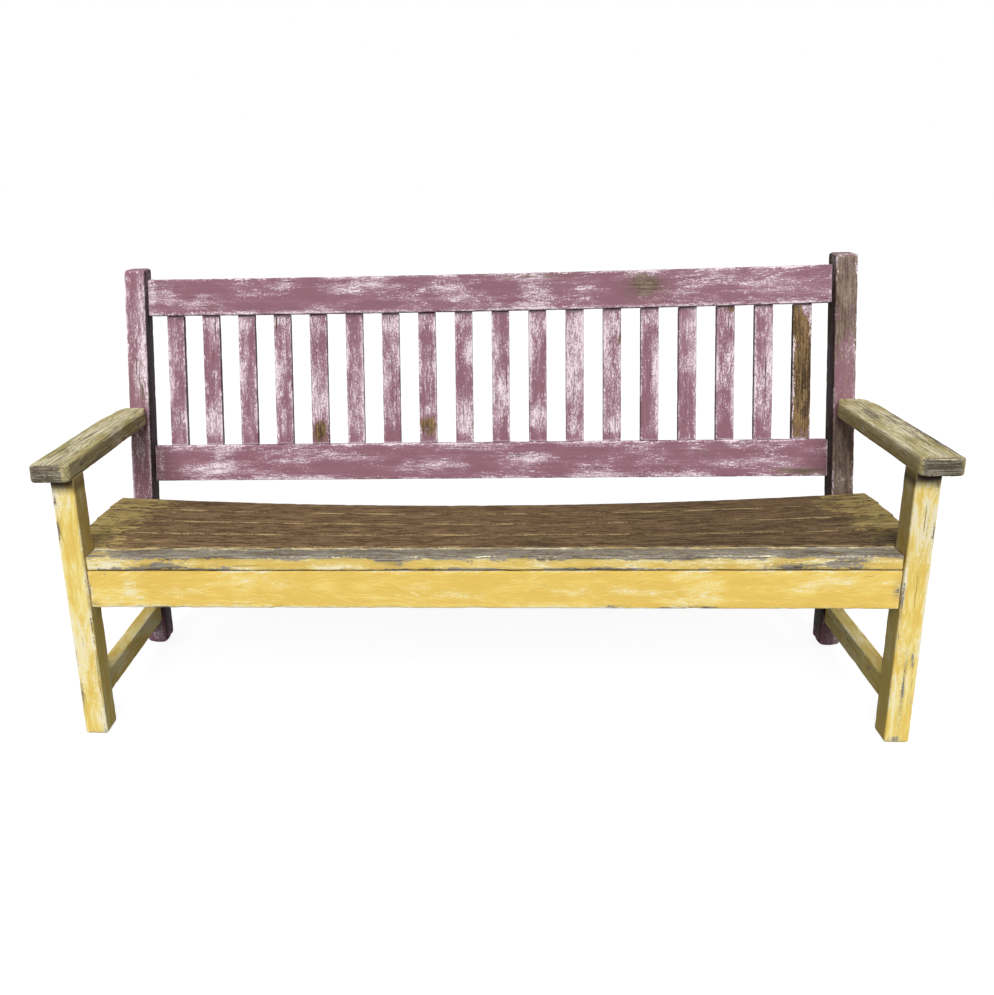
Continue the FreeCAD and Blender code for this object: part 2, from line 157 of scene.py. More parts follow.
class BenchSizes(bpy.types.PropertyGroup):
    """Sizes that the timbers take beside their frame"""
    rake: FloatProperty(name="Rake", description="Lean of the back", default=math.radians(11.5),
                        subtype="ANGLE")
    knee_height: length("Knee height", "Height at which the rear posts start to lean", 344)
    knee_radius: length("Knee radius", "Radius of the rear post's inner bend", 150)
    post_depth: length("Post depth", "Front to back size of a rear post", 51)
    back_rail_height: length("Back rail height", "Height of the crest and lower back rail", 89)
    crest_rise: length("Crest rise", "Crest rail above the knee, along the lean", 506)
    crest_sag: length("Crest sag", "Drop of the hanging crest rail at mid-length", 4)
    crest_setback: length("Crest setback", "Crest rail behind the face of the posts", 18)
    crest_thickness: length("Crest thickness", "Thickness of the crest rail", 30)
    lower_rise: length("Lower rail rise", "Lower rail above the knee, along the lean", 95)
    lower_setback: length("Lower rail setback", "Lower rail behind the face of the posts", 27)
    lower_thickness: length("Lower rail thickness", "Thickness of the lower back rail", 23)
    slat_width: length("Back slat width", "Width of a back slat", 43)
    slat_setback: length("Back slat setback", "Back slats behind the face of the posts", 30)
    slat_thickness: length("Back slat thickness", "Thickness of a back slat", 16)
    seat_thickness: length("Seat slat thickness", "Thickness of a seat slat", 24)
    seat_gap: length("Seat gap", "Gap between two seat slats", 4.5)
    seat_fall_ends: length("Seat fall at the ends", "Drop of the seat to the back, at its ends", 16)
    seat_fall_middle: length("Seat fall at the middle", "Drop of the sagging seat at mid-length", 38.5)
    arris: length("Arris", "Round of the timbers' edges", 3)
    slat_arris: length("Slat arris", "Round of the back slats' edges", 2)
    foot_round: length("Foot round", "Round of the front feet", 7)
    rear_foot_round: length("Rear foot round", "Round of the rear feet", 19)
    nose_round: length("Nose round", "Round of the front slat's edges", 4)
    post_round: length("Post top round", "Round of the rear posts' tops", 7)
    leg_stub: length("Leg stub", "How far a front leg's top goes up into its arm", 6)
    arm_round: length("Arm round", "Round of the armrests' upper and lower edges", 6.5)
    arm_front_inner: length("Arm front inner corner", "Plan radius of that corner", 15)
    arm_front_outer: length("Arm front outer corner", "Plan radius of that corner", 12)
    arm_rear_inner: length("Arm rear inner corner", "Width of that corner's sweep", 28)
    arm_rear_inner_run: length("Arm rear inner run", "Length of that corner's sweep", 48)
    arm_rear_outer: length("Arm rear outer corner", "Width of that corner's sweep", 34)
    left_arm_sweep: length("Left arm sweep", "Length of its sweep at the rear outer corner", 170)
    right_arm_sweep: length("Right arm sweep", "Length of its sweep at the rear outer corner", 90)
    mesh_step: length("Mesh step", "Longest side of a face on a timber", 7)


class BenchColours(bpy.types.PropertyGroup):
    """Colours of the paint coats and of the wood"""
    mauve: colour("Mauve", "Top coat of the back", "#8e6774")
    mauve_deep: colour("Deep mauve", "Top coat of the back where it is thick", "#845e6a")
    pink_white: colour("Pink white", "Undercoat of the back", "#e0d0d8")
    lilac: colour("Lilac", "Undercoat of the back where it is thin", "#aa909b")
    post_wood: colour("Post wood", "Bare wood of the back", "#8c7b6f")
    slat_wood: colour("Slat wood", "Brown pine of the back slats", "#8c7250")
    slat_wood_dark: colour("Dark slat wood", "Grain of the back slats", "#463727")
    post_wood_dark: colour("Dark post wood", "Grain of the bare back wood", "#5a4a3f")
    yellow: colour("Yellow", "Top coat of the front", "#ecce70")
    yellow_deep: colour("Deep yellow", "Top coat of the front where it is thick", "#e0bd60")
    lemon: colour("Lemon", "Washed-out top coat of the legs", "#ead784")
    lemon_deep: colour("Deep lemon", "Top coat of the legs where it is thick", "#dfbe60")
    cream: colour("Cream", "Undercoat of the front", "#ebe2c2")
    straw: colour("Straw", "Undercoat of the front where it is thin", "#efdf9e")
    grey_wood: colour("Grey wood", "Weathered bare wood of the front", "#9c9586")
    grey_wood_dark: colour("Dark grey wood", "Grain of the weathered front wood", "#544b3f")
    olive: colour("Olive", "Paint that is left on the arms", "#b0a476")
    olive_deep: colour("Deep olive", "Paint that is left low in the arms' grain", "#968957")
    khaki: colour("Khaki", "Paint of the arms where it is worn thin", "#b3a983")
    arm_pale: colour("Pale arm", "Bleached ridges of the arms", "#cbc3a4")
    arm_wood: colour("Arm wood", "Weathered wood of the arms", "#958c7a")
    arm_wood_dark: colour("Dark arm wood", "Cracks of the arms", "#544d3f")
    mustard: colour("Mustard", "Paint that is left on the seat", "#d8c27c")
    mustard_deep: colour("Deep mustard", "Paint that is left low in the seat's grain", "#b69f5e")
    seat_pale: colour("Pale seat", "Bleached edges of the seat slats", "#a18b64")
    seat_wood: colour("Seat wood", "Bare wood of the seat", "#8c7353")
    seat_wood_dark: colour("Dark seat wood", "Grain of the bare seat", "#4f3d2a")
    nail: colour("Nail", "Rusted nail heads", "#5b4636")
    floor: colour("Floor", "Pale floor", "#7c7c7a")


def marks_of_wear_and_shade(chalk=(), bare=(), grime_and_shade=()):
    """Marks of the three layers, chalk, bare wood and grime that is dirt and painted shade, in one list,
    each with its layer first.
    """
    return [(layer,) + mark for layer, marks in enumerate((chalk, bare, grime_and_shade)) for mark in marks]


# Marks of wear, dirt and painted shade: centre along and across the timber, reach along and across in mm,
# amount
CREST_MARKS = marks_of_wear_and_shade(
    chalk=[
        (-810, 1, 10, 39, 0.8), (-770, 2, 35, 17, 0.55), (-700, -14, 40, 19, 0.6), (-675, 3, 35, 7, 0.6),
        (-515, -39, 135, 6, 0.7), (-480, 18, 20, 19, 0.55), (-330, 22, 85, 17, 0.7),
        (-235, 27, 60, 14, 0.6), (-135, 13, 70, 12, 0.55), (-70, 16, 60, 24, 0.7),
        (-30, -23, 70, 14, 0.45), (70, -32, 70, 10, 0.7), (128, 4, 45, 44, 1.0), (470, 9, 50, 33, 0.55),
        (450, -23, 35, 19, 0.5), (560, 26, 70, 12, 0.35), (665, 7, 125, 7, 0.5), (560, -11, 90, 7, 0.3),
        (655, -32, 115, 7, 0.3), (0, -41, 4000, 5, 0.4),
    ],
    bare=[(115, 36, 95, 8, 0.6), (385, 8, 48, 34, 0.9), (150, 46, 800, 2.6, 0.6)],
    grime_and_shade=[(150, 46, 800, 2.6, 0.75)],
)
LOWER_MARKS = marks_of_wear_and_shade(
    chalk=[
        (-805, 3, 10, 40, 0.9), (-710, -18, 75, 18, 0.75), (-640, 9, 30, 35, 0.8),
        (-720, 33, 75, 10, 0.55), (-490, 31, 125, 10, 0.65), (-545, -6, 75, 20, 0.4),
        (-380, 17, 100, 12, 0.5), (-480, -37, 150, 8, 0.5), (-30, 34, 100, 7, 0.5),
        (-130, -10, 100, 20, 0.4), (125, 0, 50, 24, 0.6), (280, 33, 145, 7, 0.55),
        (280, -35, 95, 10, 0.65), (440, -32, 70, 12, 0.6), (590, 30, 95, 10, 0.6), (685, 5, 45, 19, 0.6),
        (520, -35, 70, 12, 0.4), (0, 0, 350, 40, 0.05),
    ],
    bare=[(755, -32, 60, 10, 0.9), (535, 14, 5, 7, 0.9)],
)
SLAT_MARKS = {
    1: marks_of_wear_and_shade(chalk=[(-94, -8, 37, 12, 0.6), (138, 0, 15, 20, 0.3), (0, 20, 150, 3, 0.35)]),
    2: marks_of_wear_and_shade(chalk=[(138, 0, 20, 20, 0.45), (19, 3, 17, 10, 0.5), (-108, 0, 44, 20, 0.6)]),
    3: marks_of_wear_and_shade(chalk=[(135, 0, 22, 20, 0.75), (13, -10, 60, 9, 0.6), (-60, 12, 50, 8, 0.4)]),
    4: marks_of_wear_and_shade(chalk=[(145, 0, 15, 22, 0.8), (11, 0, 80, 20, 0.75)]),
    5: marks_of_wear_and_shade(chalk=[(119, 0, 34, 20, 0.6), (-15, 0, 80, 24, 0.9)], bare=[(-128, 0, 30, 24, 0.95)]),
    6: marks_of_wear_and_shade(chalk=[(118, -14, 40, 6, 0.5), (-77, 0, 70, 22, 0.55)]),
    7: marks_of_wear_and_shade(chalk=[(135, 0, 24, 20, 0.6), (6, -12, 44, 8, 0.6), (-99, 0, 50, 22, 0.75)]),
    8: marks_of_wear_and_shade(
        chalk=[(134, 0, 22, 20, 0.5), (54, 17, 75, 5, 0.5), (54, -17, 75, 5, 0.5), (-80, 0, 14, 20, 0.6)],
        bare=[(-122, 0, 26, 22, 0.95)],
    ),
    9: marks_of_wear_and_shade(
        chalk=[(142, 0, 22, 20, 0.7), (64, 10, 34, 10, 0.6), (-95, 0, 60, 22, 0.8)],
        bare=[(-120, 19, 15, 6, 0.9)],
    ),
    10: marks_of_wear_and_shade(chalk=[(74, 0, 34, 20, 0.7), (-41, 0, 50, 20, 0.55)]),
    11: marks_of_wear_and_shade(chalk=[(129, 0, 24, 20, 0.5), (37, -18, 75, 4, 0.6), (-103, 0, 28, 24, 0.95)]),
    12: marks_of_wear_and_shade(chalk=[(71, 0, 110, 24, 1.1), (-87, -6, 85, 12, 0.8)]),
    13: marks_of_wear_and_shade(chalk=[(69, 0, 92, 24, 1.1), (-126, 0, 20, 22, 0.8)], bare=[(106, 19, 40, 5, 0.8)]),
    14: marks_of_wear_and_shade(chalk=[(134, 0, 20, 20, 0.5), (19, 13, 60, 8, 0.7), (-144, 0, 20, 20, 0.6)]),
    15: marks_of_wear_and_shade(chalk=[(115, 0, 15, 20, 0.45), (78, 19, 140, 4, 0.6), (25, 0, 25, 20, 0.5)]),
    16: marks_of_wear_and_shade(
        chalk=[(125, 10, 24, 12, 0.7), (52, 12, 30, 10, 0.85), (-63, 19, 40, 5, 0.8)],
        bare=[(154, 12, 12, 10, 0.8)],
    ),
    17: marks_of_wear_and_shade(chalk=[(144, 0, 22, 20, 0.5), (51, 14, 60, 8, 0.85), (-34, 12, 50, 10, 0.5)]),
    18: marks_of_wear_and_shade(
        chalk=[(156, 0, 10, 22, 0.8), (-149, 0, 12, 20, 0.8)],
        bare=[(0, 0, 165, 70, 1.4), (0, 20, 50, 5, -0.3)],
    ),
}
POST_MARKS = {
    "left": marks_of_wear_and_shade(
        chalk=[
            (-432, 6, 40, 14, 0.55), (20, 23, 110, 3.5, 0.6), (20, 0, 90, 24, 0.25),
            (300, 4, 160, 25, 0.35), (318, 16, 150, 6, 0.7), (222, 4, 60, 16, 0.75), (40, 21, 110, 3, 0.7),
            (40, -23, 110, 2.5, 0.5), (65, -4, 60, 4, 0.4),
        ],
        bare=[(100, 0, 420, 60, 0.15), (181, 10, 34, 10, 0.6)],
        # Grime: dirt and painted shade down the inner face, and the seat's painted shadow on the foot.
        grime_and_shade=[(0, 26, 2000, 2.5, 0.93), (470, 26, 60, 3, -0.3), (-350, 0, 50, 60, 0.8)],
    ),
    "right": marks_of_wear_and_shade(
        chalk=[
            (-432, 4, 50, 26, 0.7), (368, 0, 100, 20, 0.35), (230, 22, 110, 3, 0.6), (71, 0, 15, 20, 0.5),
            (-46, 0, 25, 18, 0.45),
        ],
        bare=[
            (-50, 0, 40, 50, 0.5), (200, 0, 420, 60, 0.3), (390, 0, 115, 60, 0.7), (220, 25, 110, 3, 0.5),
            (13, 0, 85, 50, 0.7),
        ],
        # Grime: dirt and painted shade down the inner face, and the seat's painted shadow on the foot.
        grime_and_shade=[
            (0, -26, 2000, 2.5, 0.9), (470, -26, 60, 3, -0.3), (-350, 0, 45, 60, 0.85),
            (-400, 0, 60, 60, 0.3),
        ],
    ),
}
LEG_MARKS = {
    "left": marks_of_wear_and_shade(
        chalk=[
            (258, -4, 26, 22, 1.0), (225, -6, 60, 30, 0.5), (110, -21, 150, 4, 0.75),
            (-150, -2, 160, 22, 0.65), (161, 12, 34, 8, 0.4), (-130, 17, 170, 5, 1.0),
            (-60, -21, 90, 5, 0.9), (-67, -3, 60, 8, 0.5),
        ],
        bare=[
            (180, 25.5, 190, 3, 0.3), (250, -20, 30, 3.2, 0.8), (183, -20, 34, 3.4, 0.85),
            (-150, 21, 150, 2.2, 0.7), (60, 21, 130, 2, 0.55), (-195, -20, 45, 3.2, 0.95),
            (-279, 18, 14, 4, 0.7), (-20, 21, 8, 3, 0.6),
        ],
        # Grime down the inner face is painted shade.
        grime_and_shade=[(180, 25.5, 190, 3, 0.2), (287, 25.5, 14, 3, -0.6)],
    ),
    "right": marks_of_wear_and_shade(
        chalk=[
            (258, 0, 24, 24, 0.9), (190, 2, 120, 25, 0.8), (200, -19, 120, 3.5, 0.8),
            (150, -4, 26, 12, 0.4), (70, -20, 60, 6, 0.9), (-150, 2, 150, 22, 0.4),
            (-140, -15, 150, 6, 1.0), (40, 20, 120, 5, 0.8),
        ],
        bare=[
            (180, -25.5, 190, 3, 0.12), (276, 12, 14, 14, 0.5), (176, 20, 34, 3.2, 0.8),
            (258, 19, 14, 3.4, 0.6), (190, 4, 30, 5, 0.3), (50, -22, 16, 3, 0.7), (20, -23, 40, 2, 0.3),
            (-170, 1, 90, 1.6, 1.0), (30, -21, 120, 2.2, 0.5), (-100, 12, 22, 2, 0.6),
            (-284, -6, 7, 14, 0.6), (-193, 18, 9, 3, 0.7),
        ],
        # Grime down the inner face is painted shade.
        grime_and_shade=[
            (180, -25.5, 190, 3, 0.4), (-150, -25.5, 200, 3, 0.25), (287, -25.5, 14, 3, -0.5),
            (200, 0, 130, 40, 0.08),
        ],
    ),
}
FRONT_RAIL_MARKS = marks_of_wear_and_shade(
    chalk=[
        (0, -42, 4000, 6, 0.6), (-735, 10, 18, 24, 0.8), (-690, -1, 65, 18, 0.4), (-615, -6, 55, 11, 0.5),
        (-395, 10, 40, 18, 0.45), (-440, -23, 85, 11, 0.5), (-630, -37, 125, 6, 0.8),
        (-380, -37, 85, 5, 0.5), (-110, -5, 100, 20, 0.5), (-25, -12, 40, 13, 0.55),
        (155, -5, 60, 13, 0.5), (315, -5, 120, 15, 0.75), (435, -22, 60, 13, 0.5), (695, 15, 30, 15, 0.7),
        (645, 4, 30, 11, 0.5),
    ],
    bare=[
        (-300, -42, 500, 3, 0.35), (265, -39, 30, 4, 0.7), (415, -39, 60, 4, 0.7), (-665, -40, 45, 3, 0.6),
        (815, 0, 10, 26, 0.5), (-820, -1, 5, 18, 0.8), (-815, -33, 15, 7, 0.6),
    ],
    # Grime along the top edge is painted shade in the groove under the front slat.
    grime_and_shade=[(0, 43, 4000, 2.5, 0.7)],
)
FRONT_SLAT_MARKS = marks_of_wear_and_shade(
    chalk=[
        (0, 60, 4000, 16, 0.75), (0, -9, 4000, 5, 0.3), (-790, 2, 60, 16, 0.9), (-620, -2, 85, 9, 0.5),
        (-310, -7, 60, 7, 0.6), (115, 3, 30, 11, 0.8), (390, 3, 60, 11, 0.5), (470, -3, 75, 11, 0.6),
        (660, 1, 55, 11, 0.8), (560, 4, 170, 12, 0.35), (775, 3, 25, 8, 0.5),
    ],
    bare=[
        (0, 32, 4000, 20, 1.3), (0, 62, 4000, 18, 0.5), (0, -16, 4000, 4, 0.45), (0, 17, 4000, 4, 0.3),
        (0, 0, 4000, 30, 0.2), (-800, 30, 60, 20, -0.7), (-650, -12, 150, 6, 0.55), (640, -9, 90, 8, 0.45),
        (-60, -13, 120, 5, 0.35), (-665, -4, 55, 7, 0.6), (-185, 4, 30, 11, 0.5), (125, 8, 20, 6, 0.5),
        (235, -12, 100, 4, 0.8), (605, -4, 55, 8, 0.4), (330, 12, 220, 6, 0.3), (715, 1, 40, 11, 0.55),
    ],
    # Grime along the lower front edge is painted shade in the groove over the rail.
    grime_and_shade=[(0, -18, 4000, 3, 0.8)],
)
STRETCHER_MARKS = {
    "left": marks_of_wear_and_shade(chalk=[(0, 0, 400, 60, 0.45)], bare=[(0, 0, 400, 60, 0.12)]),
    "right": marks_of_wear_and_shade(chalk=[(0, 0, 400, 60, 0.2)], bare=[(0, 0, 400, 60, 0.35)]),
}
ARM_MARKS = {
    "left": marks_of_wear_and_shade(
        chalk=[(0, 0, 400, 38, 0.7), (60, 10, 140, 30, 0.2)],
        bare=[
            (0, 0, 400, 42, 0.15), (-150, -10, 90, 40, 0.2), (-244, -8, 8, 60, 1.0),
            (-244, 34, 12, 9, -1.0), (-40, 46, 190, 6, 0.35), (40, 30, 60, 8, 0.4),
        ],
        grime_and_shade=[(-244, -14, 5, 22, 0.3), (-120, -42, 150, 5, 0.25)],
    ),
    "right": marks_of_wear_and_shade(
        chalk=[
            (0, 0, 400, 38, 0.5), (0, -44, 400, 4, -0.6), (-40, -37, 220, 4, 0.5), (-120, 0, 120, 40, 0.2),
        ],
        bare=[
            (0, 0, 400, 42, 0.2), (0, -44, 400, 4, -0.3), (-244, 0, 8, 60, 1.0), (-238, 36, 10, 8, -0.6),
            (95, -8, 50, 14, 0.5), (20, 12, 40, 10, 0.35), (-60, 36, 200, 11, 0.6),
        ],
        grime_and_shade=[(-244, 0, 5, 34, 0.08), (-70, 40, 170, 7, 0.4)],
    ),
}
SLAT_END_MARKS = marks_of_wear_and_shade(
    chalk=[(15, 0, 170, 60, 0.38), (-168, 0, 24, 60, -0.9)],
    # Grime at the slats' tops is the crest rail's painted shadow, and along the slats' sides it is painted
    # shade.
    grime_and_shade=[(166, 0, 6, 60, 0.5), (0, 22.8, 4000, 2.2, 0.7), (0, -22.8, 4000, 2.2, 0.6)],
)
# Grime at the legs' tops is the armrests' painted shadow.
LEG_TOP_MARKS = marks_of_wear_and_shade(grime_and_shade=[(287, 0, 14, 90, 0.95), (270, 0, 9, 90, 0.4)])
SEAT_MARKS = marks_of_wear_and_shade(
    chalk=[(-860, 0, 110, 80, 0.6), (865, 0, 105, 80, 0.6)],
    bare=[(0, 0, 4000, 200, 0.9), (-865, 0, 122, 80, -0.85), (870, 0, 118, 80, -0.85)],
    grime_and_shade=[(600, 0, 380, 200, 0.26)],
)
SEAT_SLAT_MARKS = {
    # Grime on slat 2 is painted shade by the legs at both ends and behind the front slat.
    2: marks_of_wear_and_shade(grime_and_shade=[(-845, 14, 55, 36, 0.5), (840, 0, 80, 60, 0.6), (300, -30, 600, 16, 0.2)]),
    3: marks_of_wear_and_shade(chalk=[(-850, -22, 70, 12, 0.5)], grime_and_shade=[(-785, 8, 50, 14, 0.45), (790, 24, 70, 16, 0.45)]),
    4: marks_of_wear_and_shade(
        chalk=[(-815, 14, 60, 12, 0.6), (825, 0, 45, 22, 0.5)],
        grime_and_shade=[(-765, -20, 50, 12, 0.4), (570, 38, 34, 5, 0.7)],
    ),
    5: marks_of_wear_and_shade(chalk=[(-785, -10, 60, 14, 0.6), (800, 0, 60, 14, 0.4)], grime_and_shade=[(-690, 12, 70, 14, 0.35)]),
}


class Block(NamedTuple):
    """A squared timber as drawn: lowest and highest corner, and its own axes."""
    low: Vector
    high: Vector
    axes: tuple

    def centre(self):
        return (self.low + self.high) / 2

    def size(self):
        return self.high - self.low


def node_box(node):
    low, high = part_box(node)
    return Vector(low), Vector(high)


# Lines of the frame that the timbers share
LEG_LOW, LEG_HIGH = node_box("right_front_leg")
POST_LOW, POST_HIGH = node_box("right_rear_post")
ARM_LOW, ARM_HIGH = node_box("right_armrest")
RAIL_LOW, RAIL_HIGH = node_box("front_seat_rail")
FRONT_SLAT_LOW, FRONT_SLAT_HIGH = node_box("front_seat_slat")
SIDE_LOW, SIDE_HIGH = node_box("right_side_rail")
BEARER_LOW, BEARER_HIGH = node_box("middle_seat_bearer")
STRETCHER_LOW, STRETCHER_HIGH = node_box("right_stretcher")
SEAT_SLAT_LOW, SEAT_SLAT_HIGH = node_box("seat_slat_2")
LEG_INNER = LEG_LOW.x
LEG_REAR = LEG_HIGH.y
POST_FRONT = POST_LOW.y
SEAT_TOP = SEAT_SLAT_HIGH.z
SEAT_REAR = node_box("seat_slat_5")[1].y
SUPPORT_X = SIDE_LOW.x


# Modelling helpers
def pick_edges(piece, test):
    """In edit mode, select only the edges that pass the test."""
    bpy.ops.mesh.select_mode(type="EDGE")
    bpy.ops.mesh.select_all(action="DESELECT")
    shape = bmesh.from_edit_mesh(piece.data)
    found = 0
    for edge in shape.edges:
        if test(edge):
            edge.select_set(True)
            found += 1
    bmesh.update_edit_mesh(piece.data)
    return found


def runs_along(edge, axis):
    way = edge.verts[1].co - edge.verts[0].co
    return abs(way[axis]) > ALONG * way.length


def is_arris(edge):
    return len(edge.link_faces) == 2 and edge.calc_face_angle() > ARRIS_ANGLE


def choose(piece):
    """Select one piece alone and make it active."""
    bpy.ops.object.select_all(action="DESELECT")
    piece.select_set(True)
    bpy.context.view_layer.objects.active = piece


def start_cube(name, low, high):
    """A cube primitive at its size and place, left in edit mode."""
    bpy.ops.object.select_all(action="DESELECT")
    bpy.ops.mesh.primitive_cube_add(size=1, location=(low + high) / 2)
    piece = bpy.context.active_object
    piece.name = name
    piece.data.name = name
    piece.scale = high - low
    bpy.ops.object.transform_apply(location=True, rotation=True, scale=True)
    bpy.ops.object.mode_set(mode="EDIT")
    return piece


def cut_rings(piece, step):
    """Halve the long edges of a timber, way by way, until none is longer than a step."""
    for axis in range(3):
        while pick_edges(piece, lambda e: runs_along(e, axis) and e.calc_length() > step):
            bpy.ops.mesh.subdivide(number_cuts=1)


def ease_arrises(piece, radius):
    pick_edges(piece, is_arris)
    bpy.ops.mesh.bevel(offset=radius, offset_type="OFFSET", segments=ARRIS_CUTS, profile=0.5,
                       affect="EDGES")


def squared_timber(name, block, arris, step):
    """A sawn and eased timber, cut finely enough to take its wear."""
    piece = start_cube(name, block.low, block.high)
    cut_rings(piece, step)
    ease_arrises(piece, arris)
    bpy.ops.object.mode_set(mode="OBJECT")
    return piece


def copy_piece(piece, name, shift):
    choose(piece)
    bpy.ops.object.duplicate(linked=False)
    made = bpy.context.active_object
    made.name = name
    made.data.name = name
    bpy.ops.transform.translate(value=shift)
    bpy.ops.object.transform_apply(location=True, rotation=True, scale=True)
    return made


def mirror_piece(piece, name):
    """The left-hand piece, from the right-hand one."""
    made = copy_piece(piece, name, (0, 0, 0))
    bpy.ops.object.mode_set(mode="EDIT")
    bpy.ops.mesh.select_all(action="SELECT")
    bpy.ops.transform.resize(value=(-1, 1, 1), center_override=(0, 0, 0))
    bpy.ops.mesh.normals_make_consistent(inside=False)
    bpy.ops.object.mode_set(mode="OBJECT")
    return made


def both_sides(right, kind, block):
    """The left-hand copy and the right-hand piece, each with its place in the pair, side and block."""
    left = mirror_piece(right, "left_%s_wood" % kind)
    left_low = Vector((-block.high.x, block.low.y, block.low.z))
    left_high = Vector((-block.low.x, block.high.y, block.high.z))
    return (0, "left", left, Block(left_low, left_high, block.axes)), (1, "right", right, block)


def points_of(piece):
    points = numpy.empty(len(piece.data.vertices) * 3)
    piece.data.vertices.foreach_get("co", points)
    return points.reshape(-1, 3)


def move_points(piece, points):
    piece.data.vertices.foreach_set("co", points.ravel())
    piece.data.update()


def keep_attribute(piece, name, kind, field, values):
    layer = piece.data.attributes.new(name, kind, "POINT")
    layer.data.foreach_set(field, numpy.ascontiguousarray(values, dtype=numpy.float32).ravel())


def wear_and_shade_amounts(local, marks):
    """Amount of each layer of wear, dirt and painted shade at each point, from the listed marks."""
    wear_and_shade = numpy.zeros((len(local), 3))
    for layer, along, across, reach_along, reach_across, amount in marks:
        far = ((local[:, 0] / MM - along) / reach_along) ** 2
        far += ((local[:, 1] / MM - across) / reach_across) ** 2
        wear_and_shade[:, layer] += amount * numpy.exp(-far ** 1.5)
    return numpy.clip(wear_and_shade, 0, 1)


def weather(piece, block, marks, kind, number=0, straight=None):
    """Raise the grain and nibble the edges inwards, and note the grain, the wear and the painted shade for
    the paint.
    """
    first_seed, ripple, nibble = WEATHERING[kind]
    axes = list(block.axes)
    points = points_of(piece)
    drawn = points if straight is None else straight
    local = (drawn - numpy.array(block.centre()))[:, axes]
    half = numpy.array(block.size())[axes] / 2
    room = numpy.maximum(half - numpy.abs(local), 0)
    edge = numpy.minimum(room[:, 1] + room[:, 2], room[:, 0] + numpy.minimum(room[:, 1], room[:, 2]))
    shift = Vector([(first_seed + number) * step for step in SEED_STEP])
    near = numpy.exp(-edge / CHIP_REACH)
    depth = numpy.empty(len(points))
    for i, (in_fibre, in_chip) in enumerate(zip(local / FIBRE_SIZE, local / CHIP_SIZE)):
        fibre = noise.noise(Vector(in_fibre) + shift)
        chip = noise.noise(Vector(in_chip) - shift)
        depth[i] = ripple * MM * max(fibre + 1, 0) / 2 + nibble * MM * max(chip, 0) * near[i]
    normals = numpy.empty(len(points) * 3)
    piece.data.vertices.foreach_get("normal", normals)
    move_points(piece, points - normals.reshape(-1, 3) * depth[:, None])
    grain = local + numpy.array((shift.x, 0, shift.z))
    sawn = room[:, 0] < SAWN_END
    grain[sawn] = grain[sawn][:, [1, 2, 0]]
    keep_attribute(piece, "grain", "FLOAT_VECTOR", "vector", grain)
    keep_attribute(piece, "edge", "FLOAT", "value", edge)
    keep_attribute(piece, "wear_and_shade", "FLOAT_VECTOR", "vector", wear_and_shade_amounts(local, marks))


def round_corner(points, middle, corner, reach):
    """Draw the points at one corner in to a quarter ellipse; corner and reach are given by axis."""
    ways = []
    for axis, end in corner.items():
        run = reach[axis] if end > middle[axis] else -reach[axis]
        ways.append((axis, end - run, run))
    (first, first_start, first_run), (second, second_start, second_run) = ways
    a = (points[:, first] - first_start) / first_run
    b = (points[:, second] - second_start) / second_run
    inside = (a > 0) & (b > 0)
    shrink = numpy.ones(len(points))
    shrink[inside] = numpy.maximum(a, b)[inside] / numpy.hypot(a, b)[inside]
    points[inside, first] = (first_start + first_run * a * shrink)[inside]
    points[inside, second] = (second_start + second_run * b * shrink)[inside]


def round_end(points, block, end, radius):
    """Round the four edges at the foot or the top of an upright timber."""
    for axis in (0, 1):
        for side in (block.low, block.high):
            round_corner(points, block.centre(), {axis: side[axis], 2: end}, (radius,) * 3)


def open_in_edit(piece):
    """Open one piece in edit mode with all of it selected."""
    choose(piece)
    bpy.ops.object.mode_set(mode="EDIT")
    bpy.ops.mesh.select_all(action="SELECT")


def seat_height(y, x, sizes):
    """Top of the seat: a slight fall to the back at the ends, a sag at mid-length."""
    back = (y - LEG_REAR) / (SEAT_REAR - LEG_REAR)
    middle = 1 - (x / SUPPORT_X) ** 2
    at_ends = (1 - middle) * sizes.seat_fall_ends * back ** 2
    return SEAT_TOP - at_ends - middle * sizes.seat_fall_middle * back


def sag(piece, block, sizes):
    """Lay a flat slat on the sagging seat surface, tilted with it."""
    points = points_of(piece)
    x = points[:, 0]
    front = seat_height(block.low.y, x, sizes)
    fall = seat_height(block.high.y, x, sizes) - front
    width = block.high.y - block.low.y
    tilt = numpy.arctan2(fall, width)
    share = (points[:, 1] - block.low.y) / width
    down = block.high.z - points[:, 2]
    points[:, 1] += down * numpy.sin(tilt)
    points[:, 2] = front + fall * share - down * numpy.cos(tilt)
    move_points(piece, points)


def fit_under_seat(piece, block, sizes):
    """Cut the top of a rail or bearer to the underside of the seat slats."""
    points = points_of(piece)
    under = seat_height(points[:, 1], block.centre().x, sizes) - sizes.seat_thickness
    share = (points[:, 2] - block.low.z) / (block.high.z - block.low.z)
    points[:, 2] = block.low.z + share * (under - block.low.z)
    move_points(piece, points)


def lean_back(piece, sizes):
    """Tip an upright piece about the knee to the rake of the posts."""
    open_in_edit(piece)
    knee = (0, POST_FRONT, sizes.knee_height)
    bpy.ops.transform.rotate(value=sizes.rake, orient_axis="X", center_override=knee)
    bpy.ops.object.mode_set(mode="OBJECT")


def droop(piece, foot, head, sizes):
    """Let what lies above the head down with the hanging crest rail, and nothing below the foot."""
    points = points_of(piece)
    share = numpy.clip((points[:, 2] - foot) / (head - foot), 0, 1)
    points[:, 2] -= sizes.crest_sag * (1 - (points[:, 0] / LEG_INNER) ** 2) * share
    move_points(piece, points)


def finish_piece(piece, node, slot, finish=None):
    """Smooth a piece, paint it with the finish or else the slot's own, and fit it into the frame."""
    choose(piece)
    bpy.ops.object.shade_smooth_by_angle(angle=SMOOTH_ANGLE)
    piece.data.materials.clear()
    piece.data.materials.append(finish_for(finish or slot))
    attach(piece, BODY)
    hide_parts(node)


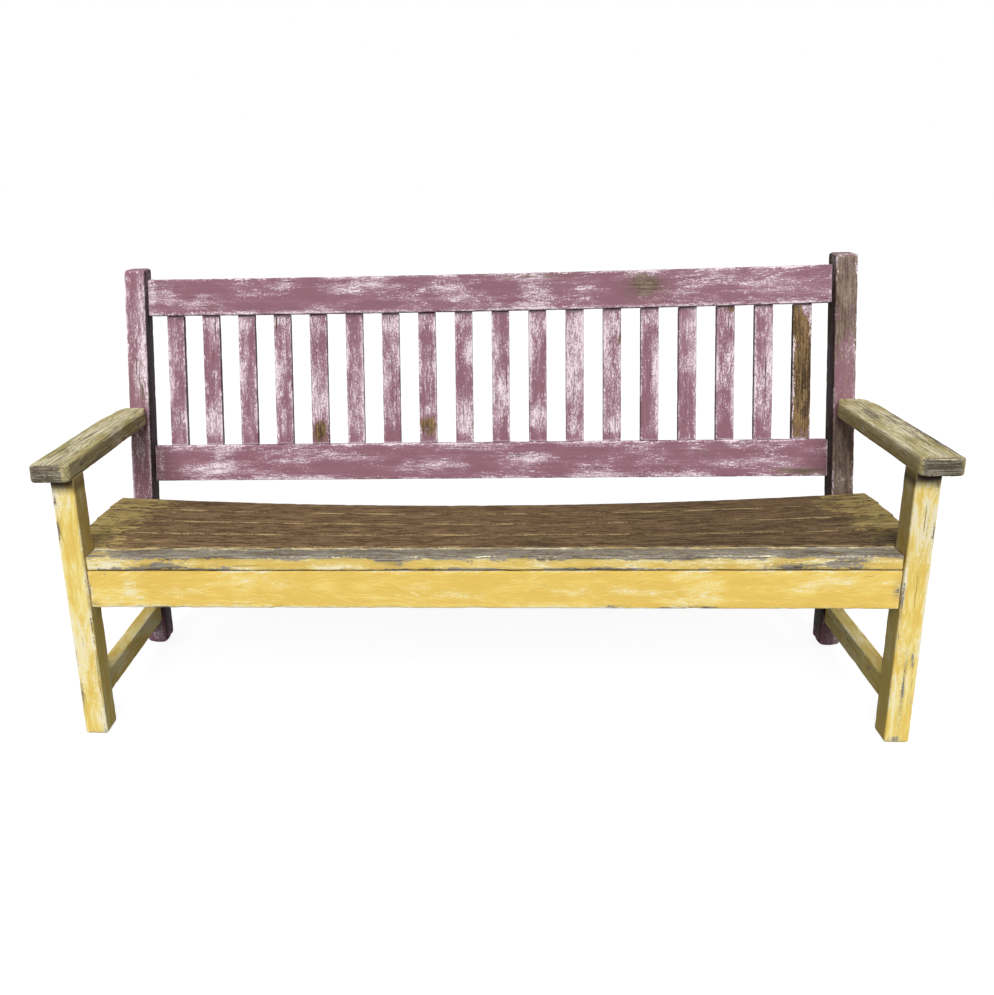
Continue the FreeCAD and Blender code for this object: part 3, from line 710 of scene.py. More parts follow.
# Materials
def add(tree, kind, inputs, **settings):
    """Add a node with its settings, and set or link its inputs."""
    made = tree.nodes.new(kind)
    for key, value in settings.items():
        setattr(made, key, value)
    for socket, value in inputs.items():
        if isinstance(value, bpy.types.NodeSocket):
            tree.links.new(value, made.inputs[socket])
        else:
            made.inputs[socket].default_value = value
    return made


def opaque(rgb):
    return (rgb[0], rgb[1], rgb[2], 1)


def new_material(name):
    """A material with an empty node tree."""
    material = bpy.data.materials.new(name)
    material.use_nodes = True
    material.node_tree.nodes.clear()
    return material


class Coat(NamedTuple):
    """Colours and wear of paint over wood; the starts are scores, of which 0 is half worn."""
    top: tuple
    top_deep: tuple
    under: tuple
    under_deep: tuple
    wood: tuple
    wood_dark: tuple
    chalk_start: float
    bare_start: float
    rub_start: float
    crack_start: float
    veil: float
    edge_reach: float
    edge_chalk: float
    chalk_mix: tuple
    tone_mix: tuple
    stroke_turn: float
    wander: float
    stroke_run: float
    roughness: float
    fibre_run: float = 110
    chalk_blur: float = 0


def paint_over_wood(name, coat):
    """Bare wood, undercoat and top coat, worn through along the grain and at the edges."""
    material = new_material(name)
    tree = material.node_tree
    grain = add(tree, "ShaderNodeAttribute", {}, attribute_name="grain").outputs["Vector"]
    edge = add(tree, "ShaderNodeAttribute", {}, attribute_name="edge").outputs["Fac"]
    wear_and_shade = add(tree, "ShaderNodeAttribute", {}, attribute_name="wear_and_shade").outputs["Vector"]
    marks = add(tree, "ShaderNodeSeparateXYZ", {"Vector": wear_and_shade}).outputs
    signals = dict(zip(("chalk_mark", "bare_mark", "grime_and_shade_mark"), marks))

    # Brush strokes wander, and fold into a feather about the timber's middle line
    place = add(tree, "ShaderNodeSeparateXYZ", {"Vector": grain}).outputs
    bend = add(tree, "ShaderNodeTexNoise", {"Vector": grain, "Scale": 1 / BEND_LENGTH, "Detail": 1})
    wander = add(tree, "ShaderNodeMath", {0: bend.outputs["Fac"], 1: coat.wander, 2: -0.5 * coat.wander},
                 operation="MULTIPLY_ADD").outputs[0]
    moved = add(tree, "ShaderNodeMath", {0: wander, 1: place[1]}, operation="ADD").outputs[0]
    folded = add(tree, "ShaderNodeMath", {0: moved}, operation="ABSOLUTE").outputs[0]
    feather = add(tree, "ShaderNodeCombineXYZ", {0: place[0], 1: folded, 2: place[2]}).outputs[0]

    # Length and width of a fibre mark in mm, detail, roughness, turn from the grain
    patterns = {
        "flecks": (5.5, 3.6, 4, 0.7, 0),
        "strokes": (coat.stroke_run, 3.0, 3, 0.6, coat.stroke_turn),
        "scratches": (1.3 * coat.stroke_run, 2.1, 2, 0.6, -1.6 * coat.stroke_turn),
        "patches": (110, 36, 3, 0.6, 0),
        "brush": (300, 9, 3, 0.6, 0),
        "fibres": (coat.fibre_run, 2.8, 4, 0.7, 0),
        "cracks": (1.4 * coat.fibre_run, 3.0, 2, 0.5, 0),
        "loss": (34, 10, 4, 0.65, 0),
    }
    for key, (run, width, detail, roughness, turn) in patterns.items():
        size = (run * MM, width * MM, width * MM)
        placed = add(tree, "ShaderNodeMapping", {"Vector": feather if turn else grain, "Scale": size,
                                                 "Rotation": (0, 0, turn)}, vector_type="TEXTURE").outputs[0]
        plain = add(tree, "ShaderNodeTexNoise", {"Vector": placed, "Scale": 1, "Detail": detail,
                                                 "Roughness": roughness}).outputs["Fac"]
        signals[key] = add(tree, "ShaderNodeMath", {0: plain, 1: 1 / NOISE_SPREAD, 2: -0.5 / NOISE_SPREAD},
                           operation="MULTIPLY_ADD").outputs[0]

    # Nearness to an edge, from 1 on it to 0 at the reach of rubbing
    signals["near"] = add(tree, "ShaderNodeMapRange", {"Value": edge, "From Min": ARRIS_WIDTH,
                                                       "From Max": coat.edge_reach, "To Min": 1,
                                                       "To Max": 0}).outputs[0]

    # Score of each layer: where it starts, its weighted parts, and the range in which it fades in up to full
    chalk_parts = dict(zip(("flecks", "strokes", "scratches"), coat.chalk_mix), density=1)
    tone_parts = dict(zip(("brush", "strokes", "patches"), coat.tone_mix))
    soft = "SMOOTHSTEP"
    tone = ("LINEAR", -TONE_RANGE, TONE_RANGE, 1)
    scores = (
        # Undercoat: dense at the marks, drawn in flecks and strokes, with a thin veil about them
        ("density", coat.chalk_start,
         dict(chalk_mark=2.4, bare_mark=0.7, patches=0.6, near=coat.edge_chalk), None),
        ("chalk", 0, chalk_parts, (soft, -0.5 - coat.chalk_blur, 0.7 + coat.chalk_blur, 1)),
        ("veil", -0.4, dict(brush=0.35, strokes=0.3, density=1), (soft, -1.6, 1.6, coat.veil)),
        # Bare wood, thin paint about it, rubbed edges and cracks
        ("bare", coat.bare_start, dict(loss=0.8, flecks=0.4, bare_mark=4.5, near=0.4), (soft, -0.4, 0.4, 1)),
        ("sheer", 0, dict(bare_mark=0.6), None),
        ("rub", coat.rub_start, dict(near=2.6, strokes=0.5, flecks=0.6, patches=0.7), (soft, -0.3, 0.6, 1)),
        ("crack", coat.crack_start,
         dict(cracks=1, patches=0.35, bare=0.5, chalk_mark=0.85), (soft, -0.1, 0.35, 1)),
        # Tones of the top coat, the undercoat and the wood
        ("top", 0, tone_parts, tone),
        ("under", -0.15, dict(strokes=0.5, density=0.8), tone),
        ("wood", 0, dict(fibres=0.7, loss=0.5, flecks=0.4, patches=0.35), tone),
        # Paint stands a little above the wood, the fibres stand in ridges and the cracks are deep
        ("height", 0, dict(fibres=0.06, chalk=-0.15, bare=-0.35, crack=-0.8), None),
    )
    for key, start, parts, fade in scores:
        score = -start
        for part, weight in parts.items():
            score = add(tree, "ShaderNodeMath", {0: signals[part], 1: weight, 2: score},
                        operation="MULTIPLY_ADD").outputs[0]
        if fade:
            kind, low, high, full = fade
            score = add(tree, "ShaderNodeMapRange", {"Value": score, "From Min": low, "From Max": high,
                                                     "To Max": full}, interpolation_type=kind).outputs[0]
        signals[key] = score

    # Each layer varies between two tones, and lies over those before it
    tones = {}
    for key, deep, light in (("top", coat.top_deep, coat.top), ("under", coat.under_deep, coat.under),
                             ("wood", coat.wood_dark, coat.wood)):
        tones[key] = add(tree, "ShaderNodeMix", {0: signals[key], 6: opaque(deep), 7: opaque(light)},
                         data_type="RGBA").outputs[2]
    surface = tones["top"]
    # The grime layer lays dirt and painted shade over the paint: shadows cast by other parts, shaded faces
    # and gaps.
    for key, over in (("veil", opaque(coat.under_deep)), ("sheer", tones["wood"]), ("chalk", tones["under"]),
                      ("bare", tones["wood"]), ("rub", opaque(coat.under)),
                      ("crack", opaque(coat.wood_dark)), ("grime_and_shade_mark", opaque(DIRT_AND_SHADE))):
        surface = add(tree, "ShaderNodeMix", {0: signals[key], 6: surface, 7: over},
                      data_type="RGBA").outputs[2]
    bump = add(tree, "ShaderNodeBump", {"Height": signals["height"], "Strength": GRAIN_STRENGTH,
                                        "Distance": GRAIN_DEPTH})
    rough = add(tree, "ShaderNodeMapRange", {"Value": signals["bare"], "To Min": coat.roughness,
                                             "To Max": BARE_ROUGHNESS})
    shader = add(tree, "ShaderNodeBsdfPrincipled", {"Base Color": surface, "Roughness": rough.outputs[0],
                                                    "Specular IOR Level": PAINT_SHEEN,
                                                    "Normal": bump.outputs[0]})
    add(tree, "ShaderNodeOutputMaterial", {"Surface": shader.outputs[0]})
    return material


def mauve_coat(colours, wood, wood_dark):
    return Coat(colours.mauve, colours.mauve_deep, colours.pink_white, colours.lilac, wood, wood_dark,
                chalk_start=2.1, bare_start=2.8, rub_start=2.6, crack_start=3.3,
                veil=0.85, edge_reach=9 * MM, edge_chalk=1.1, chalk_mix=(1.2, 0.35, 0.3),
                tone_mix=(0.5, 0.2, 0.7), stroke_turn=math.radians(7), wander=60 * MM, stroke_run=24,
                roughness=0.65)


def mauve_paint_on_pine(colours):
    """Flat mauve oil paint on pine: pinkish undercoat shows in flecks along the grain and at edges."""
    coat = mauve_coat(colours, colours.post_wood, colours.post_wood_dark)
    return paint_over_wood("mauve_oil_paint_on_pine", coat)


def mauve_paint_on_brown_pine(colours):
    """The same mauve paint on the back slats: warm brown pine shows where it is gone."""
    coat = mauve_coat(colours, colours.slat_wood, colours.slat_wood_dark)
    return paint_over_wood("mauve_oil_paint_on_brown_pine", coat)


def yellow_coat(colours, top, top_deep, edge_chalk, rub_start, stroke_turn, wander):
    return Coat(top, top_deep, colours.cream, colours.straw, colours.grey_wood,
                colours.grey_wood_dark, chalk_start=2.2, bare_start=3.0, rub_start=rub_start,
                crack_start=3.6, veil=0.7, edge_reach=7 * MM, edge_chalk=edge_chalk,
                chalk_mix=(0.65, 0.4, 0.3),
                tone_mix=(0.2, 0.6, 0.6), stroke_turn=stroke_turn, wander=wander, stroke_run=40,
                chalk_blur=0.4, roughness=0.6)


def yellow_paint_on_pine(colours):
    """Yellow oil paint on pine: thin and creamy in feathered strokes, grey where it is lost."""
    coat = yellow_coat(colours, colours.yellow, colours.yellow_deep, 0.8, 2.9, math.radians(10), 80 * MM)
    return paint_over_wood("yellow_oil_paint_on_pine", coat)


def yellow_paint_on_rubbed_pine(colours):
    """Yellow oil paint on the front slat: ragged edges where the seat has rubbed it to grey wood."""
    coat = yellow_coat(colours, colours.yellow, colours.yellow_deep, 0, 4.2, math.radians(6), 40 * MM)
    return paint_over_wood("yellow_oil_paint_on_rubbed_pine", coat)


def yellow_paint_on_straight_pine(colours):
    """Washed-out lemon paint on straight-grained pine: its creamy strokes run with the timber."""
    coat = yellow_coat(colours, colours.lemon, colours.lemon_deep, 0.8, 2.9, math.radians(4), 30 * MM)
    return paint_over_wood("lemon_oil_paint_on_straight_pine", coat)


def weathered_arm_pine(colours):
    """Pine that has lost most of its paint: bleached ridges, dark cracks and olive paint between."""
    coat = Coat(colours.olive, colours.olive_deep, colours.arm_pale, colours.khaki, colours.arm_wood,
                colours.arm_wood_dark, chalk_start=1.4, bare_start=2.3, rub_start=2.3, crack_start=2.1,
                veil=0.3, edge_reach=8 * MM, edge_chalk=0.6, chalk_mix=(0.5, 0.6, 0.5),
                tone_mix=(0.6, 0.3, 0.7), stroke_turn=math.radians(2), wander=30 * MM, stroke_run=36,
                roughness=0.85)
    return paint_over_wood("weathered_pine_with_olive_paint", coat)


def worn_seat_pine(colours):
    """Seat pine worn bare and brown: fine dark grain, bleached edges, mustard paint at the ends."""
    coat = Coat(colours.mustard, colours.mustard_deep, colours.seat_pale, colours.mustard, colours.seat_wood,
                colours.seat_wood_dark, chalk_start=2.2, bare_start=1.2, rub_start=2.5, crack_start=2.0,
                veil=0.3, edge_reach=5 * MM, edge_chalk=0.6, chalk_mix=(0.3, 0.7, 0.6),
                tone_mix=(0.6, 0.3, 0.6), stroke_turn=math.radians(1), wander=30 * MM, fibre_run=60,
                stroke_run=46, roughness=0.85)
    return paint_over_wood("worn_brown_pine", coat)


def rusted_steel(colours):
    """Wire nails rusted brown: rough, blotched in half-millimetre grains."""
    material = new_material("rusted_nail_steel")
    tree = material.node_tree
    place = add(tree, "ShaderNodeTexCoord", {}).outputs["Object"]
    blotch = add(tree, "ShaderNodeTexNoise", {"Vector": place, "Scale": 1 / RUST_GRAIN, "Detail": 3})
    dark = tuple(RUST_SHADE * c for c in colours.nail)
    tone = add(tree, "ShaderNodeMix", {0: blotch.outputs["Fac"], 6: opaque(dark), 7: opaque(colours.nail)},
               data_type="RGBA")
    bump = add(tree, "ShaderNodeBump", {"Height": blotch.outputs["Fac"], "Distance": RUST_DEPTH})
    shader = add(tree, "ShaderNodeBsdfPrincipled", {"Base Color": tone.outputs[2], "Roughness": 0.8,
                                                    "Metallic": 0.3, "Normal": bump.outputs[0]})
    add(tree, "ShaderNodeOutputMaterial", {"Surface": shader.outputs[0]})
    return material


def white_to_camera(tree):
    """1 on rays that show the background itself: seen straight, in gloss or through glass."""
    rays = add(tree, "ShaderNodeLightPath", {}).outputs
    seen = rays["Is Camera Ray"]
    for name in ("Is Glossy Ray", "Is Transmission Ray"):
        seen = add(tree, "ShaderNodeMath", {0: seen, 1: rays[name]}, operation="MAXIMUM").outputs[0]
    return seen


def pale_floor(colours):
    """Matt pale floor that reads white to the camera and still takes the bench's shadow."""
    material = new_material("matt_pale_floor")
    tree = material.node_tree
    plain = add(tree, "ShaderNodeBsdfDiffuse", {"Color": opaque(colours.floor)})
    shade = add(tree, "ShaderNodeBsdfDiffuse", {"Color": opaque((FLOOR_SHADE,) * 3)})
    glow = add(tree, "ShaderNodeEmission", {"Strength": FLOOR_GLOW})
    white = add(tree, "ShaderNodeAddShader", {0: shade.outputs[0], 1: glow.outputs[0]})
    seen = white_to_camera(tree)
    pick = add(tree, "ShaderNodeMixShader", {0: seen, 1: plain.outputs[0], 2: white.outputs[0]})
    add(tree, "ShaderNodeOutputMaterial", {"Surface": pick.outputs[0]})
    return material


def studio_world(scene):
    """Even studio light all round, white where the camera sees it."""
    world = bpy.data.worlds.new("studio")
    world.use_nodes = True
    tree = world.node_tree
    tree.nodes.clear()
    light = add(tree, "ShaderNodeBackground", {"Color": (1, 1, 1, 1), "Strength": WORLD_STRENGTH})
    white = add(tree, "ShaderNodeBackground", {"Color": (1, 1, 1, 1), "Strength": 1})
    seen = white_to_camera(tree)
    pick = add(tree, "ShaderNodeMixShader", {0: seen, 1: light.outputs[0], 2: white.outputs[0]})
    add(tree, "ShaderNodeOutputWorld", {"Surface": pick.outputs[0]})
    scene.world = world


FINISHES = {
    "mauve_painted_wood": mauve_paint_on_pine,
    "brown_slat_wood": mauve_paint_on_brown_pine,
    "yellow_painted_wood": yellow_paint_on_pine,
    "rubbed_yellow_wood": yellow_paint_on_rubbed_pine,
    "straight_yellow_wood": yellow_paint_on_straight_pine,
    "weathered_arm_wood": weathered_arm_pine,
    "worn_seat_wood": worn_seat_pine,
}
made_finishes = {}


def finish_for(name):
    if name not in made_finishes:
        made_finishes[name] = FINISHES[name](bpy.context.scene.bench_colours)
    return made_finishes[name]


class BENCH_OT_front_legs(bpy.types.Operator):
    """Model the two front legs"""
    bl_idname = "bench.front_legs"
    bl_label = "Front legs"

    def execute(self, context):
        sizes = context.scene.bench_sizes
        high = Vector((LEG_HIGH.x, LEG_HIGH.y, ARM_LOW.z + sizes.leg_stub))
        block = Block(LEG_LOW, high, UPRIGHT_AXES)
        right = squared_timber("right_front_leg_wood", block, sizes.arris, sizes.mesh_step)
        for place, side, piece, own in both_sides(right, "front_leg", block):
            points = points_of(piece)
            round_end(points, own, own.low.z, sizes.foot_round)
            move_points(piece, points)
            weather(piece, own, LEG_MARKS[side] + LEG_TOP_MARKS, "front_leg", place)
            finish_piece(piece, side + "_front_leg", "yellow_painted_wood", "straight_yellow_wood")
        return {"FINISHED"}


class BENCH_OT_rear_posts(bpy.types.Operator):
    """Model the two rear posts, upright to the knee and leaning above it"""
    bl_idname = "bench.rear_posts"
    bl_label = "Rear posts"

    def execute(self, context):
        sizes = context.scene.bench_sizes
        rear = POST_FRONT + sizes.post_depth
        knee_high = Vector((POST_HIGH.x, rear, sizes.knee_height))
        post = start_cube("right_rear_post_wood", POST_LOW, knee_high)
        bpy.ops.mesh.select_mode(type="FACE")
        bpy.ops.mesh.select_all(action="DESELECT")
        shape = bmesh.from_edit_mesh(post.data)
        for face in shape.faces:
            face.select_set(face.normal.z > 0.9)
        bmesh.update_edit_mesh(post.data)
        rise = POST_HIGH.z - sizes.knee_height
        lean = (0, rise * math.tan(sizes.rake), rise)
        bpy.ops.mesh.extrude_region_move(TRANSFORM_OT_translate={"value": lean})
        front_top = (0, POST_FRONT + lean[1], POST_HIGH.z)
        bpy.ops.transform.resize(value=(1, 1 / math.cos(sizes.rake), 1), center_override=front_top)
        drop = sizes.post_depth * math.tan(sizes.rake / 2)
        at_knee = sizes.knee_height
        pick_edges(post, lambda e: runs_along(e, 0) and e.verts[0].co.y > rear - MM
                   and abs(e.verts[0].co.z - at_knee) < MM)
        bpy.ops.transform.translate(value=(0, 0, -drop))
        for radius, y in ((sizes.knee_radius + sizes.post_depth, POST_FRONT), (sizes.knee_radius, rear)):
            pick_edges(post, lambda e: runs_along(e, 0) and abs(e.verts[0].co.y - y) < MM
                       and abs(e.verts[0].co.z - at_knee) < 2 * drop)
            bpy.ops.mesh.bevel(offset=radius * math.tan(sizes.rake / 2), offset_type="OFFSET",
                               segments=KNEE_CUTS, profile=0.5, affect="EDGES")
        cut_rings(post, sizes.mesh_step)
        ease_arrises(post, sizes.arris)
        bpy.ops.object.mode_set(mode="OBJECT")
        block = Block(POST_LOW, Vector((POST_HIGH.x, rear, POST_HIGH.z)), UPRIGHT_AXES)
        for place, side, piece, own in both_sides(post, "rear_post", block):
            straight = points_of(piece)
            leaned = numpy.maximum(straight[:, 2] - at_knee, 0) * math.tan(sizes.rake)
            straight[:, 1] -= leaned
            round_end(straight, own, own.high.z, sizes.post_round)
            round_end(straight, own, own.low.z, sizes.rear_foot_round)
            move_points(piece, straight + leaned[:, None] * numpy.array((0, 1, 0)))
            weather(piece, own, POST_MARKS[side], "rear_post", place, straight)
            finish_piece(piece, side + "_rear_post", "mauve_painted_wood")
        return {"FINISHED"}


class BENCH_OT_armrests(bpy.types.Operator):
    """Model the two armrests: round corners, and a rear end cut to the lean of the post"""
    bl_idname = "bench.armrests"
    bl_label = "Armrests"

    def execute(self, context):
        sizes = context.scene.bench_sizes
        lean = math.tan(sizes.rake)
        rear = POST_FRONT + (ARM_HIGH.z - sizes.knee_height) * lean + sizes.arris
        block = Block(ARM_LOW, Vector((ARM_HIGH.x, rear, ARM_HIGH.z)), ARM_AXES)
        right = start_cube("right_armrest_wood", block.low, block.high)
        cut_rings(right, ARM_STEP_SHARE * sizes.mesh_step)
        bpy.ops.object.mode_set(mode="OBJECT")
        on_post = (0, POST_FRONT + (ARM_LOW.z - sizes.knee_height) * lean, ARM_LOW.z)
        sweeps = {"left": sizes.left_arm_sweep, "right": sizes.right_arm_sweep}
        for place, side, piece, own in both_sides(right, "armrest", block):
            points = points_of(piece)
            self.shape_plan(points, own, sweeps[side], sizes)
            move_points(piece, points)
            open_in_edit(piece)
            bpy.ops.mesh.bisect(plane_co=on_post, plane_no=(0, 1, -lean), use_fill=True, clear_outer=True)
            bpy.ops.object.mode_set(mode="OBJECT")
            weather(piece, own, ARM_MARKS[side], "armrest", place)
            finish_piece(piece, side + "_armrest", "weathered_arm_wood")
        return {"FINISHED"}

    def shape_plan(self, points, block, sweep, sizes):
        """Round the edges and the plan's corners."""
        middle = block.centre()
        inner, outer = sorted((block.low.x, block.high.x), key=abs)
        edge = (sizes.arm_round,) * 3
        for z in (block.low.z, block.high.z):
            for x in (inner, outer):
                round_corner(points, middle, {0: x, 2: z}, edge)
            round_corner(points, middle, {1: block.low.y, 2: z}, edge)
        corners = (
            (inner, block.low.y, sizes.arm_front_inner, sizes.arm_front_inner),
            (outer, block.low.y, sizes.arm_front_outer, sizes.arm_front_outer),
            (inner, block.high.y, sizes.arm_rear_inner, sizes.arm_rear_inner_run),
            (outer, block.high.y, sizes.arm_rear_outer, sweep),
        )
        for x, y, width, run in corners:
            round_corner(points, middle, {0: x, 1: y}, (width, run))


class BENCH_OT_back_rails(bpy.types.Operator):
    """Model the crest rail and the lower back rail"""
    bl_idname = "bench.back_rails"
    bl_label = "Back rails"

    def execute(self, context):
        sizes = context.scene.bench_sizes
        rails = (
            ("crest_rail", sizes.crest_rise, sizes.crest_setback, sizes.crest_thickness, CREST_MARKS),
            ("lower_back_rail", sizes.lower_rise, sizes.lower_setback, sizes.lower_thickness, LOWER_MARKS),
        )
        lower_top = sizes.knee_height + sizes.lower_rise + sizes.back_rail_height
        crest_foot = sizes.knee_height + sizes.crest_rise
        for node, rise, setback, thickness, marks in rails:
            low = Vector((-LEG_INNER, POST_FRONT + setback, sizes.knee_height + rise))
            high = Vector((LEG_INNER, low.y + thickness, low.z + sizes.back_rail_height))
            block = Block(low, high, RAIL_AXES)
            rail = squared_timber(node + "_wood", block, sizes.arris, sizes.mesh_step)
            weather(rail, block, marks, node)
            droop(rail, lower_top, crest_foot, sizes)
            lean_back(rail, sizes)
            finish_piece(rail, node, "mauve_painted_wood")
        return {"FINISHED"}


class BENCH_OT_back_slats(bpy.types.Operator):
    """Model one back slat and copy it along the back, each worn in its own way"""
    bl_idname = "bench.back_slats"
    bl_label = "Back slats"

    def execute(self, context):
        sizes = context.scene.bench_sizes
        bottom = sizes.knee_height + sizes.lower_rise + sizes.back_rail_height
        top = sizes.knee_height + sizes.crest_rise
        low = Vector((-sizes.slat_width / 2, POST_FRONT + sizes.slat_setback, bottom))
        high = Vector((sizes.slat_width / 2, low.y + sizes.slat_thickness, top))
        pattern = Block(low, high, UPRIGHT_AXES)
        first = squared_timber("back_slat_pattern", pattern, sizes.slat_arris, sizes.mesh_step)
        for number in range(1, SLAT_COUNT + 1):
            node = "back_slat_%02d" % number
            ends = node_box(node)
            shift = Vector(((ends[0].x + ends[1].x) / 2, 0, 0))
            slat = copy_piece(first, node + "_wood", shift)
            block = Block(low + shift, high + shift, UPRIGHT_AXES)
            weather(slat, block, SLAT_MARKS[number] + SLAT_END_MARKS, "back_slat", number)
            droop(slat, low.z, high.z, sizes)
            lean_back(slat, sizes)
            finish_piece(slat, node, "mauve_painted_wood", "brown_slat_wood")
        bpy.data.objects.remove(first)
        return {"FINISHED"}


class BENCH_OT_seat_frame(bpy.types.Operator):
    """Model the front seat rail, the side rails, the middle bearer and the stretchers"""
    bl_idname = "bench.seat_frame"
    bl_label = "Seat frame"

    def execute(self, context):
        sizes = context.scene.bench_sizes
        slot = "yellow_painted_wood"
        low = Vector((-LEG_INNER, RAIL_LOW.y, RAIL_LOW.z))
        block = Block(low, Vector((LEG_INNER, RAIL_HIGH.y, RAIL_HIGH.z)), RAIL_AXES)
        rail = squared_timber("front_seat_rail_wood", block, sizes.arris, sizes.mesh_step)
        weather(rail, block, FRONT_RAIL_MARKS, "front_seat_rail")
        finish_piece(rail, "front_seat_rail", slot)

        pairs = (
            ("stretcher", STRETCHER_LOW, STRETCHER_HIGH.x, STRETCHER_HIGH.z),
            ("side_rail", SIDE_LOW, SIDE_HIGH.x, SEAT_TOP),
        )
        for kind, corner, outer, top in pairs:
            low = Vector((corner.x, LEG_REAR, corner.z))
            block = Block(low, Vector((outer, POST_FRONT, top)), SIDE_AXES)
            right = squared_timber("right_%s_wood" % kind, block, sizes.arris, sizes.mesh_step)
            for place, side, piece, own in both_sides(right, kind, block):
                weather(piece, own, STRETCHER_MARKS[side], kind, place)
                if kind == "side_rail":
                    fit_under_seat(piece, own, sizes)
                finish_piece(piece, "%s_%s" % (side, kind), slot, "straight_yellow_wood")

        low = Vector((BEARER_LOW.x, RAIL_HIGH.y, BEARER_LOW.z))
        block = Block(low, Vector((BEARER_HIGH.x, SEAT_REAR, SEAT_TOP)), ARM_AXES)
        bearer = squared_timber("middle_seat_bearer_wood", block, sizes.arris, sizes.mesh_step)
        weather(bearer, block, SEAT_MARKS, "middle_seat_bearer")
        fit_under_seat(bearer, block, sizes)
        finish_piece(bearer, "middle_seat_bearer", "worn_seat_wood")
        return {"FINISHED"}


class BENCH_OT_seat_slats(bpy.types.Operator):
    """Model the thick front slat and the four sagging slats behind it"""
    bl_idname = "bench.seat_slats"
    bl_label = "Seat slats"

    def execute(self, context):
        sizes = context.scene.bench_sizes
        block = Block(FRONT_SLAT_LOW, FRONT_SLAT_HIGH, RAIL_AXES)
        slat = squared_timber("front_seat_slat_wood", block, sizes.nose_round, sizes.mesh_step)
        unrolled = points_of(slat)
        on_top = unrolled[:, 2] > block.high.z - sizes.nose_round
        unrolled[on_top, 2] += unrolled[on_top, 1] - block.low.y
        weather(slat, block, FRONT_SLAT_MARKS, "front_seat_slat", straight=unrolled)
        finish_piece(slat, "front_seat_slat", "yellow_painted_wood", "rubbed_yellow_wood")

        pitch = (SEAT_REAR - LEG_REAR) / len(SEAT_SLATS)
        low = Vector((SEAT_SLAT_LOW.x, LEG_REAR + sizes.seat_gap, SEAT_TOP - sizes.seat_thickness))
        high = Vector((SEAT_SLAT_HIGH.x, LEG_REAR + pitch, SEAT_TOP))
        pattern = Block(low, high, SEAT_AXES)
        first = squared_timber("seat_slat_pattern", pattern, sizes.arris, sizes.mesh_step)
        for place, number in enumerate(SEAT_SLATS):
            node = "seat_slat_%d" % number
            shift = Vector((0, place * pitch, 0))
            slat = copy_piece(first, node + "_wood", shift)
            ends = node_box(node)
            points = points_of(slat)
            points[:, 0] *= ends[1].x / high.x
            move_points(slat, points)
            own_low = Vector((ends[0].x, low.y, low.z))
            own_high = Vector((ends[1].x, high.y, high.z))
            block = Block(own_low + shift, own_high + shift, SEAT_AXES)
            weather(slat, block, SEAT_MARKS + SEAT_SLAT_MARKS[number], "seat_slat", number)
            sag(slat, block, sizes)
            finish_piece(slat, node, "worn_seat_wood")
        bpy.data.objects.remove(first)
        return {"FINISHED"}


class BENCH_OT_seat_nails(bpy.types.Operator):
    """Give the nails of the seat their rusted steel"""
    bl_idname = "bench.seat_nails"
    bl_label = "Seat nails"

    def execute(self, context):
        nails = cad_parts["seat_nails"]
        nails.data.materials.clear()
        nails.data.materials.append(rusted_steel(context.scene.bench_colours))
        return {"FINISHED"}


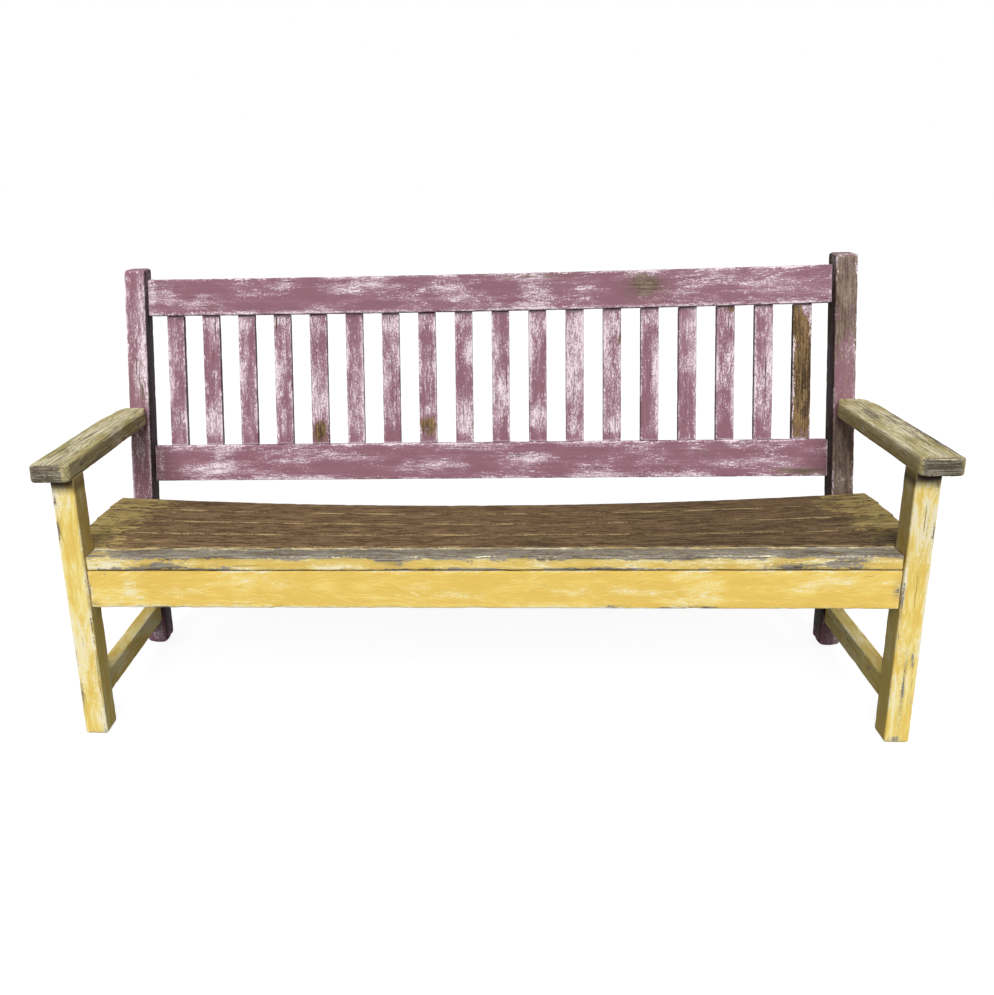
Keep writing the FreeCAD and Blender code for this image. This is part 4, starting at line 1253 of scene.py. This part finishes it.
class BENCH_OT_stage(bpy.types.Operator):
    """Set up the pale floor, the soft light and the camera"""
    bl_idname = "bench.stage"
    bl_label = "Floor, light and camera"

    def execute(self, context):
        scene = context.scene
        bpy.ops.object.select_all(action="DESELECT")
        bpy.ops.mesh.primitive_plane_add(size=FLOOR_SIZE, location=(0, 0, 0))
        floor = context.active_object
        floor.name = "floor"
        floor.data.materials.append(pale_floor(scene.bench_colours))

        suns = (("soft_key", KEY_TURN, KEY_STRENGTH), ("soft_back", BACK_TURN, BACK_STRENGTH))
        for name, turn, strength in suns:
            bpy.ops.object.light_add(type="SUN", rotation=turn)
            lamp = context.active_object
            lamp.name = name
            lamp.data.energy = strength
            lamp.data.angle = LIGHT_SOFTNESS
        for side, way in (("left", -1), ("right", 1)):
            bpy.ops.object.light_add(type="AREA", location=(way * END_LIGHT_OUT, 0, END_LIGHT_HEIGHT),
                                     rotation=(0, way * END_LIGHT_TURN, 0))
            lamp = context.active_object
            lamp.name = side + "_end_light"
            lamp.data.energy = END_LIGHT_POWER
            lamp.data.size = END_LIGHT_SIZE
        studio_world(scene)

        bpy.ops.object.camera_add(location=CAMERA_PLACE, rotation=CAMERA_TURN)
        camera = context.active_object
        camera.name = "photo_camera"
        camera.data.sensor_width = CAMERA_SENSOR
        camera.data.lens = CAMERA_LENS
        camera.data.shift_x = CAMERA_SHIFT[0]
        camera.data.shift_y = CAMERA_SHIFT[1]
        camera.data.clip_end = CAMERA_REACH
        scene.camera = camera
        scene.view_settings.view_transform = "Standard"
        return {"FINISHED"}


class BENCH_PT_panel(bpy.types.Panel):
    """Lists the bench's pieces, sizes and colours"""
    bl_idname = "BENCH_PT_panel"
    bl_label = "Bench"
    bl_space_type = "VIEW_3D"
    bl_region_type = "UI"
    bl_category = "Bench"

    def draw(self, context):
        for operator in OPERATORS:
            self.layout.operator(operator.bl_idname)
        for group in (context.scene.bench_sizes, context.scene.bench_colours):
            for name in group.bl_rna.properties.keys():
                if name not in ("rna_type", "name"):
                    self.layout.prop(group, name)


OPERATORS = (
    BENCH_OT_front_legs, BENCH_OT_rear_posts, BENCH_OT_armrests, BENCH_OT_back_rails, BENCH_OT_back_slats,
    BENCH_OT_seat_frame, BENCH_OT_seat_slats, BENCH_OT_seat_nails, BENCH_OT_stage,
)
CLASSES = (BenchSizes, BenchColours) + OPERATORS + (BENCH_PT_panel,)


def register():
    for cls in CLASSES:
        bpy.utils.register_class(cls)
    bpy.types.Scene.bench_sizes = PointerProperty(type=BenchSizes)
    bpy.types.Scene.bench_colours = PointerProperty(type=BenchColours)


def unregister():
    del bpy.types.Scene.bench_colours
    del bpy.types.Scene.bench_sizes
    for cls in reversed(CLASSES):
        bpy.utils.unregister_class(cls)


def main():
    register()
    for operator in OPERATORS:
        group, name = operator.bl_idname.split(".")
        getattr(getattr(bpy.ops, group), name)()


if __name__ == "__main__":
    main()
